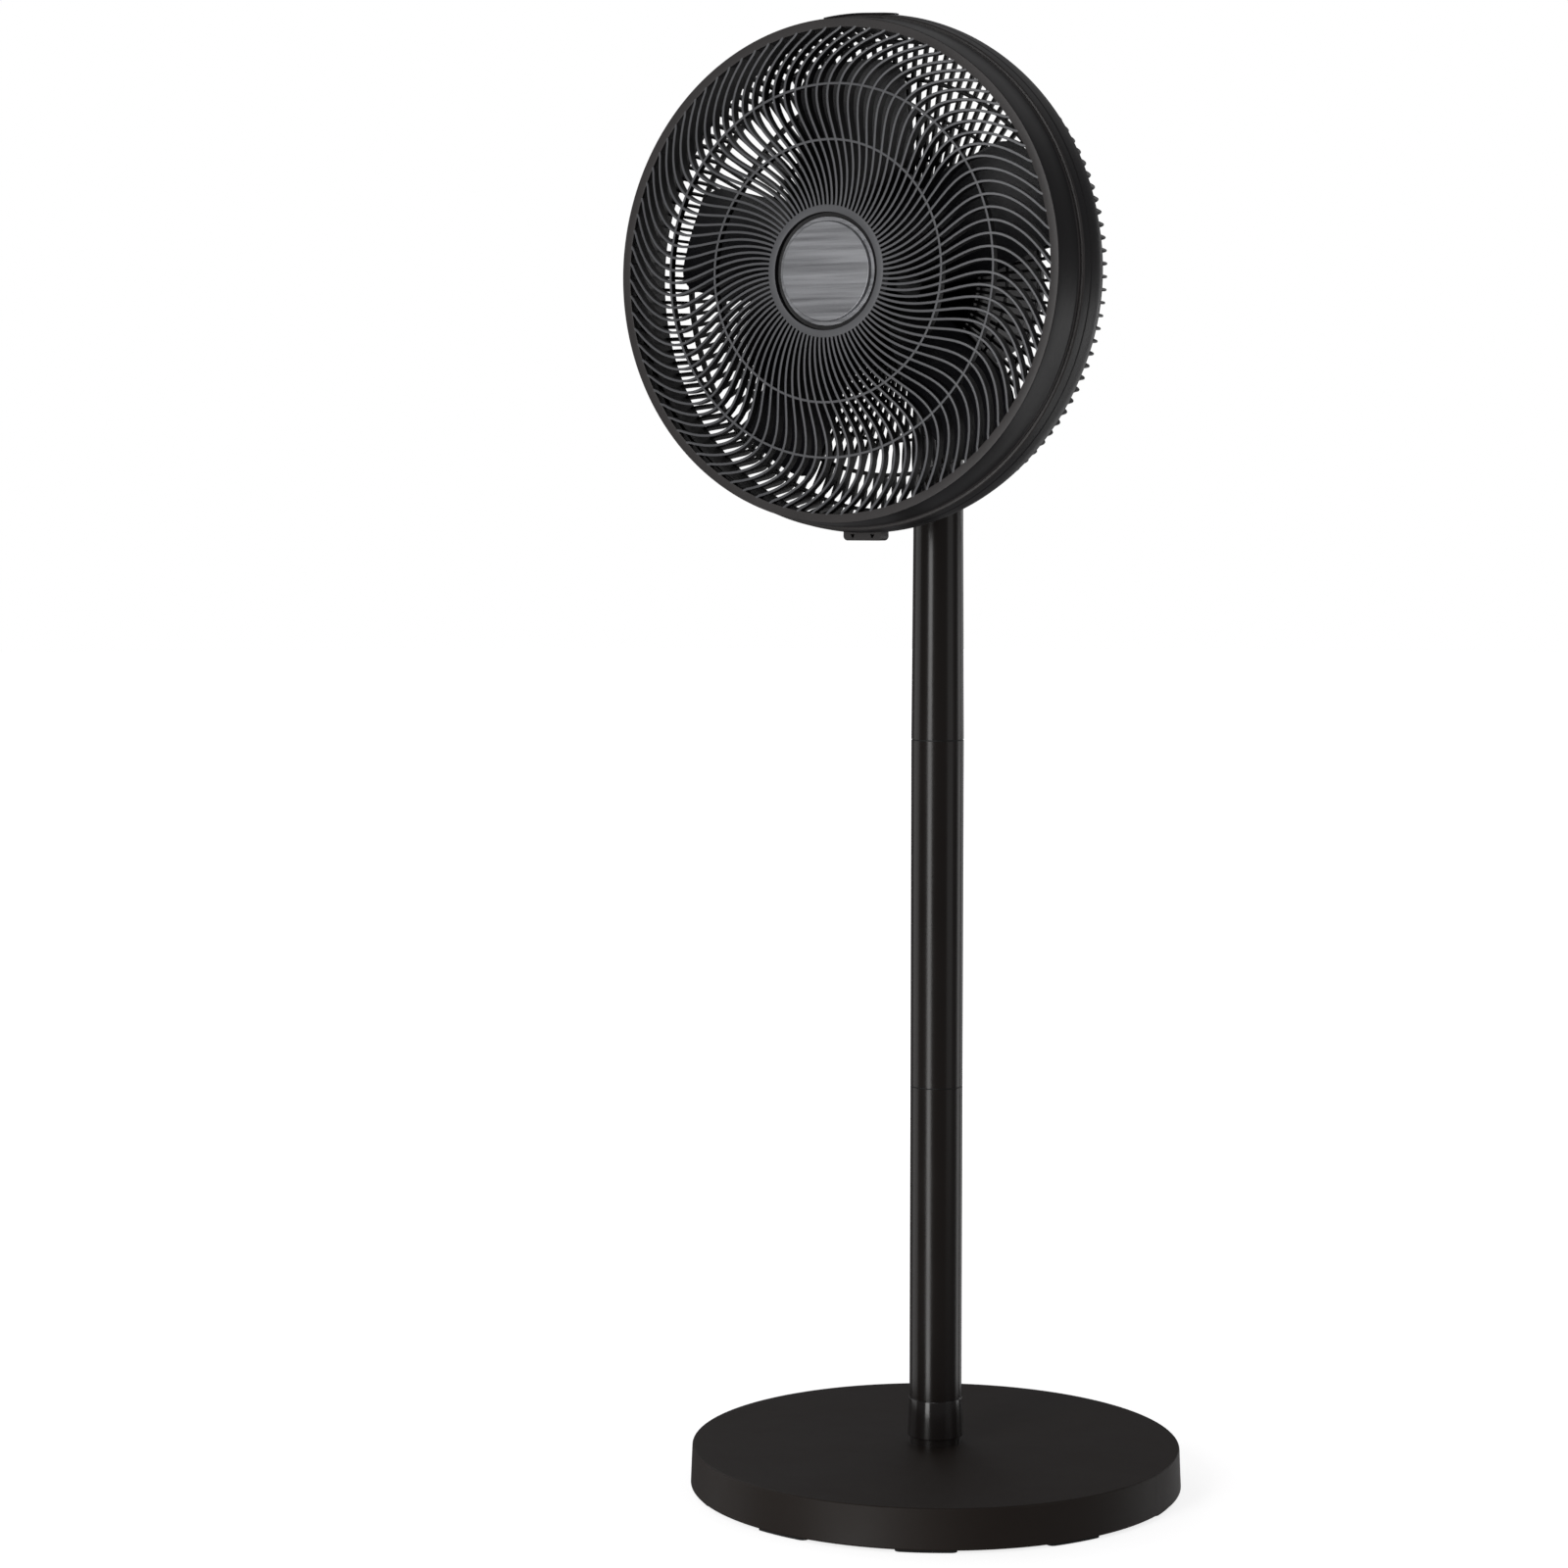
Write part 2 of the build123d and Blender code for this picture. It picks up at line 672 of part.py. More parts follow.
def make_back_rib():
    """Inner rib from the divider hoop to the centre plate."""
    back = back_line()
    front = [(radius, forward + RIB_DEPTH) for radius, forward in reversed(back)]
    side = Plane.XZ * make_face(Polyline(*back, *front, close=True))
    return extrude(side, RIB_WIDTH / 2, both=True)


def make_rear_hoops():
    """Hoops that tie the ribs: at the corner, between both sets of ribs, and two further in."""
    corner = ring(CORNER_HOOP[1], CORNER_HOOP[0], CORNER_HOOP_BACK, CORNER_HOOP_BACK + RIB_DEPTH)
    bottom = DIVIDER_BACK + 0.3
    hoops = [corner, ring(DIVIDER_RADIUS + 1.2, DIVIDER_RADIUS - 1.2, bottom, bottom + RIB_DEPTH - 0.5)]
    for radius, forward in (back_line()[2], back_line()[4]):
        hoops.append(ring(radius + 1.1, radius - 1.1, forward + 0.6, forward + 0.6 + HOOP_DEPTH))
    return hoops


def make_rear_plate():
    """Centre plate with a raised edge where the ribs end."""
    step = REAR_PLATE_BACK + REAR_PLATE_THICK
    bore = NOSE_RADIUS + 0.3
    return turned(
        [
            (bore, REAR_PLATE_BACK),
            (REAR_PLATE_RADIUS, REAR_PLATE_BACK),
            (REAR_PLATE_RADIUS, REAR_PLATE_BACK + RIB_DEPTH),
            (REAR_PLATE_RADIUS - 1.8, REAR_PLATE_BACK + RIB_DEPTH),
            (REAR_PLATE_RADIUS - 1.8, step),
            (bore, step),
        ]
    )


def make_rear_grille():
    """Drum-shaped cage: rim, outer and inner ribs, four hoops and a centre plate."""
    wall_ribs = around(make_wall_rib(), WALL_RIB_COUNT, WALL_RIB_FIRST)
    back_ribs = around(make_back_rib(), BACK_RIB_COUNT, BACK_RIB_FIRST)
    return make_rear_rim() + wall_ribs + back_ribs + make_rear_hoops() + make_rear_plate()


def make_rear_grille_nut():
    """Scalloped ring nut on the housing's nose."""
    bottom = REAR_PLATE_BACK + REAR_PLATE_THICK
    body = ring(27.0, NOSE_RADIUS + 0.1, bottom, bottom + 7.0)
    scallop = Pos(29.0, 0, 0) * rod(4.0, bottom + 1.5, bottom + 9.0)
    return body - around(scallop, 10)


# ---- Clips ----
def make_bottom_clip():
    """Tab under the rear rim that locks both cages, with two small notches in its face."""
    low = -RING_RADIUS - TAB_REACH
    tab = block((-TAB_WIDTH / 2, low, TAB_BACK), (TAB_WIDTH / 2, -RING_RADIUS + 8.0, TAB_FRONT))
    tab = fillet(tab.edges().filter_by(Axis.Z).group_by(Axis.Y)[0], 3.0)
    top = -RING_RADIUS - 0.4
    corners = [(-TAB_NOTCH / 2, top), (TAB_NOTCH / 2, top), (0, top - 3.0)]
    notch = Pos(0, 0, TAB_FRONT - 4.0) * extrude(make_face(Polyline(*corners, close=True)), 5.0)
    notches = [Pos(side * TAB_NOTCH_OFFSET, 0, 0) * notch for side in (-1, 1)]
    bore = rod(1.6, -1.0, 9.0) + rod(TAB_SCREW_HEAD + 0.3, -1.0, 1.2)
    screw_hole = Pos(0, low, (TAB_BACK + TAB_FRONT) / 2) * Rot(-90, 0, 0) * bore
    rim = rod(RING_RADIUS + CLIP_GAP, 0, 200)
    return tab - rim - notches - screw_hole


def make_clip_screw():
    """Safety screw that locks the bottom clip; its head is sunk in the tab."""
    slot = block((-1.8, -0.35, -0.1), (1.8, 0.35, 0.8))
    screw = rod(TAB_SCREW_HEAD, 0.2, 1.2) + rod(1.5, 1.2, TAB_REACH - 0.1)
    screw = screw - slot - spin(slot, 90)
    middle = (TAB_BACK + TAB_FRONT) / 2
    return Pos(0, -RING_RADIUS - TAB_REACH, middle) * Rot(-90, 0, 0) * screw


def make_top_clip():
    """Low arched bridge over the seam of the two cages, with a fine groove in the middle."""
    outer = RING_RADIUS + ARCH_REACH
    arch = turned(
        [
            (RING_RADIUS + CLIP_GAP, ARCH_BACK),
            (outer, ARCH_BACK),
            (outer, RING_MIDDLE + 1.0),
            (RING_FRONT_RADIUS + ARCH_REACH, ARCH_FRONT),
            (RING_FRONT_RADIUS + CLIP_GAP, ARCH_FRONT),
            (RING_RADIUS + CLIP_GAP, RING_MIDDLE + 0.5),
        ]
    )
    half = radians(ARCH_HALF_ANGLE)
    reach = 2 * outer
    corners = [(0, 0), polar(reach, pi / 2 - half), polar(reach, pi / 2 + half)]
    sector = make_face(Polyline(*corners, close=True))
    arch = arch & extrude(sector, 2 * FACE_FORWARD)
    groove = block((-0.8, outer - 0.4, 0), (0.8, outer + 2.0, 2 * FACE_FORWARD))
    return arch - groove


def make_cages():
    save("front_grille", make_front_grille(), place=HEAD_PLACE)
    save("hub_cap", make_hub_cap(), place=HEAD_PLACE)
    save("rear_grille", make_rear_grille(), place=HEAD_PLACE)
    save("rear_grille_nut", make_rear_grille_nut(), place=HEAD_PLACE)
    save("bottom_clip", make_bottom_clip(), place=HEAD_PLACE)
    save("clip_screw", make_clip_screw(), place=HEAD_PLACE)
    save("top_clip", make_top_clip(), place=HEAD_PLACE)


# ---- Motor housing ----
def upright(shape):
    """Undo the head's placing for a piece that is drawn upright in the fan's frame."""
    return HEAD_PLACE.inverse() * shape


def make_motor_housing():
    """Round front shell with a threaded nose, and a boss below for the swivel post."""
    inner = HOUSING_RADIUS - HOUSING_WALL
    shell = turned(
        [
            (SHAFT_RADIUS + 3.0, HOUSING_FRONT - 3.0),
            (inner, HOUSING_FRONT - 3.0),
            (inner, HOUSING_SPLIT),
            (HOUSING_RADIUS, HOUSING_SPLIT),
            (HOUSING_RADIUS, HOUSING_FRONT),
            (NOSE_RADIUS, HOUSING_FRONT),
            (NOSE_RADIUS, NOSE_FRONT),
            (SHAFT_RADIUS + 3.0, NOSE_FRONT),
        ],
        [0, 0, 0, 0, 4.0, 0, 1.0, 0],
    )
    boss = upright(rod(POST_BOSS_RADIUS, POST_BOSS_BOTTOM, GEAR_BOTTOM - 0.8))
    bore = upright(rod(POST_RADIUS + BUSH_WALL, POST_BOSS_BOTTOM - 10, GEAR_BOTTOM + 10))
    screw_boss = Pos(COVER_SCREW_CIRCLE, 0, 0) * ring(4.2, 1.5, HOUSING_SPLIT, HOUSING_SPLIT + 14.0)
    return shell + boss + around(screw_boss, 4, 45.0) - bore


def make_pivot_bridge():
    """Cross-bar inside the housing that holds the upper bush."""
    drop = HEAD_Z - BRIDGE_BOTTOM
    reach = sqrt((HOUSING_RADIUS - HOUSING_WALL) ** 2 - drop**2) - 0.4
    bar = block((-reach, -7.6, BRIDGE_BOTTOM), (reach, 9.0, BRIDGE_TOP))
    return bar - rod(POST_RADIUS + BUSH_WALL, BRIDGE_BOTTOM - 1, BRIDGE_TOP + 1)


def make_rear_cover():
    """Domed back shell, with a shallow seat for the control panel."""
    inner = HOUSING_RADIUS - HOUSING_WALL
    seat = COVER_BACK + PANEL_THICK + PANEL_INSET
    shell = turned(
        [
            (PANEL_RADIUS + 0.2, COVER_BACK),
            (HOUSING_RADIUS, COVER_BACK),
            (HOUSING_RADIUS, HOUSING_SPLIT - 0.4),
            (inner, HOUSING_SPLIT - 0.4),
            (inner, seat + HOUSING_WALL),
            (0, seat + HOUSING_WALL),
            (0, seat),
            (PANEL_RADIUS + 0.2, seat),
        ],
        [0.8, 18.0, 0.6, 0, 15.0, 0, 0, 0],
    )
    hole = rod(BUTTON_RADIUS + BUTTON_HOLE_GAP, -80, -40)
    holes = [Pos(x, y, 0) * hole for _, x, y in button_places()]
    screw_boss = rod(4.6, COVER_BACK + 6.0, HOUSING_SPLIT - 0.4)
    screw_hole = rod(3.3, COVER_BACK - 1.0, COVER_SCREW_HEAD + 2.0) + rod(1.7, COVER_SCREW_HEAD, 0)
    bosses = around(Pos(COVER_SCREW_CIRCLE, 0, 0) * screw_boss, 4, 45.0)
    screw_holes = around(Pos(COVER_SCREW_CIRCLE, 0, 0) * screw_hole, 4, 45.0)
    vents = []
    for middle in (90.0, 270.0):
        for index in range(VENTS_PER_SIDE):
            angle = middle + VENT_SPACING * (index - (VENTS_PER_SIDE - 1) / 2)
            vents.append(spin(make_vent(), angle))
    return shell + bosses - holes - screw_holes - vents


def make_vent():
    """Cutter for one cooling slot through the rounded shoulder of the back cover."""
    half = VENT_WIDTH / 2
    low = (HOUSING_RADIUS - 14.0, -half, COVER_BACK + 10.0)
    high = (HOUSING_RADIUS + 1.0, half, HOUSING_SPLIT - 6.0)
    return block(low, high)


def button_places():
    """Names and places of the five buttons, mirrored so that they read from behind."""
    places = [("power_button", 0.0, 0.0)]
    others = ("faster_button", "swing_button", "slower_button", "timer_button")
    for index, name in enumerate(others):
        x, y = polar(BUTTON_CIRCLE, pi / 2 + index * pi / 2)
        places.append((name, x, y))
    return places


def make_control_panel():
    low = COVER_BACK + PANEL_INSET
    panel = rod(PANEL_RADIUS, low, low + PANEL_THICK)
    hole = rod(BUTTON_RADIUS + BUTTON_HOLE_GAP, -80, -40)
    holes = [Pos(x, y, 0) * hole for _, x, y in button_places()]
    lens_hole = Pos(*polar(27.0, radians(45.0)), 0) * rod(2.6, -80, low + 0.8)
    return panel - holes - lens_hole


def make_receiver_window():
    low = COVER_BACK + PANEL_INSET
    return Pos(*polar(27.0, radians(45.0)), 0) * rod(2.5, low - 0.3, low + 0.8)


def make_button():
    """Round cap with a flange behind the panel and a stem to its switch."""
    back = COVER_BACK + PANEL_INSET - BUTTON_PROUD
    inside = COVER_BACK + PANEL_THICK + PANEL_INSET + HOUSING_WALL
    return turned(
        [
            (0, back),
            (BUTTON_RADIUS, back),
            (BUTTON_RADIUS, inside + 0.4),
            (BUTTON_RADIUS + 1.4, inside + 0.4),
            (BUTTON_RADIUS + 1.4, inside + 1.2),
            (1.6, inside + 1.2),
            (1.6, BOARD_FORWARD - 3.2),
            (0, BOARD_FORWARD - 3.2),
        ],
        [0, 0.8, 0, 0, 0, 0, 0, 0],
    )


def make_tact_switch():
    return block((-3, -3, BOARD_FORWARD - 1.9), (3, 3, BOARD_FORWARD))


def make_cover_screws():
    """Four cross-head screws sunk in the back cover."""
    top = COVER_SCREW_HEAD + 2.0
    slot = block((-1.8, -0.35, COVER_SCREW_HEAD - 1), (1.8, 0.35, COVER_SCREW_HEAD + 1.0))
    screw = rod(3.0, COVER_SCREW_HEAD, top) + rod(1.5, top, HOUSING_SPLIT + 10.0)
    screw = screw - slot - spin(slot, 90)
    return around(Pos(COVER_SCREW_CIRCLE, 0, 0) * screw, 4, 45.0)


def make_housing():
    save("motor_housing", make_motor_housing(), place=HEAD_PLACE)
    outer, bore = POST_RADIUS + BUSH_WALL, POST_RADIUS + RUNNING_GAP
    save("lower_bush", ring(outer, bore, POST_BOSS_BOTTOM, GEAR_BOTTOM - 0.8))
    save("upper_bush", ring(outer, bore, BRIDGE_BOTTOM, BRIDGE_TOP))
    save("pivot_bridge", make_pivot_bridge())
    save("rear_cover", make_rear_cover(), place=HEAD_PLACE)
    save("cover_screws", *make_cover_screws(), place=HEAD_PLACE)
    save("control_panel", make_control_panel(), place=HEAD_PLACE)
    save("receiver_window", make_receiver_window(), place=HEAD_PLACE)
    for name, x, y in button_places():
        save(name, Pos(x, y, 0) * make_button(), place=HEAD_PLACE)
    switches = [Pos(x, y, 0) * make_tact_switch() for _, x, y in button_places()]
    save("tact_switches", *switches, place=HEAD_PLACE)
    board = rod(36.0, BOARD_FORWARD, BOARD_FORWARD + BOARD_THICK)
    save("control_board", board, place=HEAD_PLACE)
    top = DRIVER_BOARD_Z + BOARD_THICK
    save("driver_board", block((-26, 2, DRIVER_BOARD_Z), (26, 40, top)))


# ---- Motor ----
def make_motor_mount():
    """Flange on the housing's front wall with a tube for the bearings and the stator."""
    wall = HOUSING_FRONT - 3.0
    return turned(
        [
            (BEARING_RADIUS, STATOR_BACK - 5.0),
            (STATOR_BORE, STATOR_BACK - 5.0),
            (STATOR_BORE, wall - 3.0),
            (40.0, wall - 3.0),
            (40.0, wall),
            (BEARING_RADIUS, wall),
        ]
    )


def make_bearing(bottom):
    """Shielded bearing; its bore runs on the shaft."""
    return ring(BEARING_RADIUS, SHAFT_RADIUS + RUNNING_GAP, bottom, bottom + BEARING_WIDTH)


def make_stator_core():
    core = ring(19.0, STATOR_BORE, STATOR_BACK, STATOR_FRONT)
    tooth = block((18.0, -1.6, STATOR_BACK), (STATOR_RADIUS - 1.6, 1.6, STATOR_FRONT))
    shoe = ring(STATOR_RADIUS, STATOR_RADIUS - 2.2, STATOR_BACK, STATOR_FRONT)
    shoe = shoe & block((0, -5.4, 0), (40, 5.4, 60))
    return core + around(tooth, STATOR_SLOTS) + around(shoe, STATOR_SLOTS)


def make_windings():
    """One coil round each stator tooth."""
    coil = block((19.6, -3.0, STATOR_BACK - 2.0), (25.2, 3.0, STATOR_FRONT + 2.0))
    gap = block((19.0, -1.65, STATOR_BACK - 0.05), (26.0, 1.65, STATOR_FRONT + 0.05))
    return around(coil - gap, STATOR_SLOTS)


def make_rotor_cup():
    back = 10.0
    return turned(
        [
            (SHAFT_RADIUS, back),
            (ROTOR_RADIUS, back),
            (ROTOR_RADIUS, STATOR_FRONT + 2.0),
            (ROTOR_RADIUS - 1.4, STATOR_FRONT + 2.0),
            (ROTOR_RADIUS - 1.4, back + 1.6),
            (SHAFT_RADIUS, back + 1.6),
        ],
        [0, 1.5, 0, 0, 0, 0],
    )


def make_motor():
    save("motor_mount", make_motor_mount(), place=HEAD_PLACE)
    front_bottom = HOUSING_FRONT - 3.0 - BEARING_WIDTH
    save("front_bearing", make_bearing(front_bottom), place=HEAD_PLACE)
    save("rear_bearing", make_bearing(STATOR_BACK - 5.0), place=HEAD_PLACE)
    save("stator_core", make_stator_core(), place=HEAD_PLACE)
    save("stator_windings", *make_windings(), place=HEAD_PLACE)
    save("rotor_cup", make_rotor_cup(), place=HEAD_PLACE)
    magnet = ring(ROTOR_RADIUS - 1.4, STATOR_RADIUS + 0.6, STATOR_BACK - 1.0, STATOR_FRONT + 1.0)
    save("magnet_ring", magnet, place=HEAD_PLACE)
    save("motor_shaft", rod(SHAFT_RADIUS, SHAFT_BACK, SHAFT_FRONT), place=HEAD_PLACE)


# ---- Fan ----
def blade_section(radius, chord, pitch):
    """Slim section square to the radius, turned by its pitch."""
    plane = Plane(origin=(radius, 0, BLADE_MIDDLE), x_dir=(0, 1, 0), z_dir=(1, 0, 0))
    return plane * Rot(0, 0, pitch) * Rectangle(chord, BLADE_THICK)


def make_blade():
    """Wide blade whose pitch eases off towards the tip."""
    return loft(
        [
            blade_section(BLADE_HUB_RADIUS - 3.0, 38.0, 40.0),
            blade_section(65.0, 72.0, 27.0),
            blade_section(105.0, 75.0, 16.0),
            blade_section(BLADE_TIP_RADIUS + 1.0, 74.0, 10.0),
        ]
    )


def make_fan_blade():
    """Hub cup and five wide pitched blades, trimmed to one tip radius."""
    hub = turned(
        [
            (SHAFT_RADIUS, BLADE_HUB_BACK + 6.0),
            (10.0, BLADE_HUB_BACK + 6.0),
            (10.0, BLADE_HUB_FRONT - 8.0),
            (BLADE_HUB_RADIUS - 2.4, BLADE_HUB_FRONT - 8.0),
            (BLADE_HUB_RADIUS - 2.4, BLADE_HUB_BACK),
            (BLADE_HUB_RADIUS, BLADE_HUB_BACK),
            (BLADE_HUB_RADIUS, BLADE_HUB_FRONT),
            (16.0, BLADE_HUB_FRONT),
            (16.0, BLADE_HUB_FRONT - 5.0),
            (SHAFT_RADIUS, BLADE_HUB_FRONT - 5.0),
        ],
        [0, 0, 0, 0, 0, 0, 6.0, 1.0, 0, 0],
    )
    inside = rod(BLADE_HUB_RADIUS - 1.5, 0, 200)
    blade = (make_blade() - inside) & rod(BLADE_TIP_RADIUS, 0, 200)
    slot = block((-12.0, -1.6, BLADE_HUB_BACK + 5.0), (12.0, 1.6, BLADE_HUB_BACK + 9.2))
    return hub + around(blade, BLADE_COUNT, BLADE_FIRST) - slot


def make_fan():
    save("fan_blade", make_fan_blade(), place=HEAD_PLACE)
    nut = ring(13.0, SHAFT_RADIUS, BLADE_HUB_FRONT - 5.0, BLADE_HUB_FRONT + 4.0)
    groove = Pos(14.6, 0, 0) * rod(2.6, 0, 200)
    save("blade_nut", nut - around(groove, 8), place=HEAD_PLACE)
    pin_z = BLADE_HUB_BACK + 7.6
    pin = Pos(0, 0, pin_z) * Rot(0, 90, 0) * rod(1.5, SHAFT_RADIUS, 11.0)
    pins = [pin, spin(pin, 180)]
    save("drive_pin", *pins, place=HEAD_PLACE)


# ---- Oscillation drive ----
def make_oscillation_drive():
    centre = GEAR_MODULE * (GEAR_TEETH + PINION_TEETH) / 2
    body_y = centre + STEPPER_OFFSET
    can = Pos(0, body_y, 0) * rod(STEPPER_RADIUS, STEPPER_BOTTOM, STEPPER_BOTTOM + STEPPER_HEIGHT)
    neck = Pos(0, centre, 0) * rod(4.5, STEPPER_BOTTOM - 1.5, STEPPER_BOTTOM)
    lugs = block(
        (-STEPPER_RADIUS - 6.5, body_y - 3.5, STEPPER_BOTTOM),
        (STEPPER_RADIUS + 6.5, body_y + 3.5, STEPPER_BOTTOM + 1.0),
    )
    shaft_hole = Pos(0, centre, 0) * rod(STEPPER_SHAFT_RADIUS + RUNNING_GAP, 760, STEPPER_BOTTOM + 4.0)
    save("oscillation_motor", can + neck + lugs - shaft_hole)
    # The pinion is turned by half a tooth, so that a gap faces the fixed gear's tooth.
    pinion = spin(involute_gear(PINION_TEETH, 1.0, GEAR_THICK), -180.0 / PINION_TEETH)
    axle = rod(STEPPER_SHAFT_RADIUS, 0.0, STEPPER_BOTTOM + 3.0 - GEAR_BOTTOM)
    save("oscillation_pinion", Pos(0, centre, GEAR_BOTTOM) * (pinion + axle))


os.makedirs("parts", exist_ok=True)
make_base()
make_pole()
make_tilt()
make_housing()
make_motor()
make_fan()
make_oscillation_drive()
make_cages()
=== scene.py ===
# Looks of a free-standing pedestal fan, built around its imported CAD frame.
# Metres, in the frame of the CAD: the origin is on the floor under the pole, +Z is up, and the
# fan blows towards -Y. "Forward" is the distance in front of the pole's axis, so it is -Y.
import json
import math

import bmesh
import bpy
import numpy as np
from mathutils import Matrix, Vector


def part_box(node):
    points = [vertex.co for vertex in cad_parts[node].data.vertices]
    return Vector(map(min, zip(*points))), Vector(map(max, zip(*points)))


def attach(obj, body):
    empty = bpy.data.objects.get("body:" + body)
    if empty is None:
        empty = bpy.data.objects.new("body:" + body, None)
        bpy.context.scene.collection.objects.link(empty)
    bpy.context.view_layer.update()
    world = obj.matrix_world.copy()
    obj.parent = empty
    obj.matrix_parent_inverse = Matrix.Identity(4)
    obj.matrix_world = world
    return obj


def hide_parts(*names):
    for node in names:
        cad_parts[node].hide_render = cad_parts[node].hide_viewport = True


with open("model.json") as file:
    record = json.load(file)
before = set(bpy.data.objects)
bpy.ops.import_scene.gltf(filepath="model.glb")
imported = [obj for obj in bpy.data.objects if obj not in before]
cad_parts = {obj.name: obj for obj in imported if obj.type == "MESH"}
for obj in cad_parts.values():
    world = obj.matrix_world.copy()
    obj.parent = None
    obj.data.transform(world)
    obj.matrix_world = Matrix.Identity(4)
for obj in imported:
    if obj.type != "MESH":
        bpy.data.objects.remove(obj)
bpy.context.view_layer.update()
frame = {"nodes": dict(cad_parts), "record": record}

MM = 0.001

# ---- Straight steps that stand for a full turn ----
ROUND_STEPS = 240
RIM_STEPS = 360
PLATE_STEPS = 180
BLADE_HUB_STEPS = 120

# ---- Places read from the frame ----
cap_low, cap_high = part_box("hub_cap")
front_low, front_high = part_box("front_grille")
rear_low, rear_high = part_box("rear_grille")
fan_low, fan_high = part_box("fan_blade")
HEAD_HEIGHT = (cap_low.z + cap_high.z) / 2
HUB_FORWARD = -front_low.y
SKIRT_BACK = -front_high.y
SKIRT_RADIUS = (front_high.x - front_low.x) / 2
PLATE_BACK = -rear_high.y

# ---- Front grille ----
SLAT_COUNT = 90
SLAT_WIDTH = 1.7 * MM
SLAT_DEPTH = 7.0 * MM
SLAT_CROWN = 0.5 * MM
SLAT_STATIONS = 48
CROWN_EDGES = 4  # edges of a bar's section that make its face
SLAT_SWIRL = math.radians(14.0)
SWIRL_SKEW = 1.485  # above 1, the widest swirl lies nearer the rim than the hub
HUB_RADIUS = 41.5 * MM
GROOVE_OUTER = 36.8 * MM
GROOVE_INNER = 30.8 * MM
GROOVE_DEPTH = 4.0 * MM
DOME_START = 57.5 * MM
FACE_INNER = 151.9 * MM
FACE_OUTER = 157.75 * MM
FACE_FORWARD = HUB_FORWARD - 10.1 * MM
FACE_THICK = 2.6 * MM
FRONT_RINGS = (81.8 * MM, 116.5 * MM)
FRONT_RING_WIDTH = 1.6 * MM
FRONT_RING_DEPTH = 5.5 * MM
FRONT_RING_CROWN = 0.4 * MM

# ---- Rear grille ----
OUTER_RIBS = 120
INNER_RIBS = 100
OUTER_RIB_START = math.radians(1.5)
INNER_RIB_START = math.radians(1.2)
OUTER_RIB_STATIONS = 44
INNER_RIB_STATIONS = 20
RIB_WIDTH = 2.0 * MM
RIB_DEPTH = 5.0 * MM
RIM_FRONT = 116.5 * MM
RIM_BACK = 89.0 * MM
RIM_RADIUS = 164.5 * MM
CORNER_RADIUS = 156.3 * MM
CORNER_BACK = 66.0 * MM
DIVIDER_RADIUS = 127.0 * MM
DIVIDER_BACK = 64.5 * MM
CORNER_HOOP = (149.3 * MM, 151.6 * MM)  # its inner and outer radius
INNER_HOOPS = (105.0 * MM, 78.0 * MM)  # their middle radii
HOOP_DEPTH = 5.0 * MM
INNER_HOOP_DEPTH = 3.6 * MM
HOOP_ROUNDING = 0.6 * MM
PLATE_RADIUS = 54.5 * MM
PLATE_BORE = 16.3 * MM
PLATE_THICK = 3.0 * MM

# ---- Fan ----
BLADE_COUNT = 5
BLADE_TIP = 137.0 * MM
BLADE_HUB = 33.0 * MM
BLADE_HUB_WALL = 2.4 * MM
BLADE_HUB_BACK = 84.0 * MM
BLADE_HUB_FRONT = -fan_low.y
SHAFT_RADIUS = 4.05 * MM
BLADE_MIDDLE = 98.0 * MM
BLADE_THICK = 1.9 * MM
BLADE_EDGE = 0.35  # share of the thickness that is left at a blade's edges
BLADE_CAMBER = 0.05  # share of the chord
BLADE_CORNER = 11.0 * MM
BLADE_START = math.radians(23.0)
BLADE_SECTIONS = np.array([30.0, 65.0, 105.0, 136.0]) * MM
BLADE_CHORDS = np.array([38.0, 72.0, 75.0, 74.0]) * MM
BLADE_PITCHES = np.radians([40.0, 27.0, 16.0, 10.0])
BLADE_STATIONS = 34
CHORD_STATIONS = 25

# ---- Icons on the buttons ----
ICON_WIDTH = 0.5 * MM
ICON_PROUD = 0.08 * MM

# ---- Lights: soft boxes round the fan, placed from the camera's side ----
LIGHTS = {
    "key": dict(offset=-34, distance=2.2, height=0.45, size=(0.66, 2.9), radiance=3.7, aim=0.45),
    "wing": dict(offset=-106, distance=2.4, height=0.6, size=(1.6, 2.6), radiance=0.62, aim=0.6),
    "right_strip": dict(
        offset=110, distance=2.2, height=-0.25, size=(0.7, 1.8), radiance=1.1, aim=-0.25
    ),
    "right_fill": dict(
        offset=58, distance=2.8, height=0.9, size=(1.4, 2.4), radiance=0.42, aim=0.6
    ),
    "top": dict(offset=150, distance=1.9, height=2.6, size=(2.2, 2.2), radiance=0.18, aim=0.3),
    "back": dict(offset=-150, distance=2.4, height=1.9, size=(1.6, 1.6), radiance=0.6, aim=0.6),
    "rear_strip": dict(
        offset=146, distance=2.4, height=0.3, size=(0.9, 1.8), radiance=0.6, aim=0.5
    ),
}

# ---- Camera: where the photograph was taken from ----
CAMERA_DISTANCE = 2.42546
CAMERA_AZIMUTH = 0.4895
CAMERA_HEIGHT = 0.66633
CAMERA_PITCH = 0.0778
CAMERA_YAW = 0.0424
CAMERA_LENS = 83.296

# ---- Floor and world ----
FLOOR_RADIUS = 14.0
FLOOR_SIDES = 96
FLOOR_FADE = (0.25, 1.6)  # distances over which the floor's glow rises
FLOOR_GLOW = (0.80, 1.1)  # its glow at those distances
WORLD_LIGHT = (0.12, 0.118, 0.122, 1)

# ---- Noise ----
NOISE_LOW, NOISE_HIGH = 0.3, 0.7  # most of the noise lies between these values


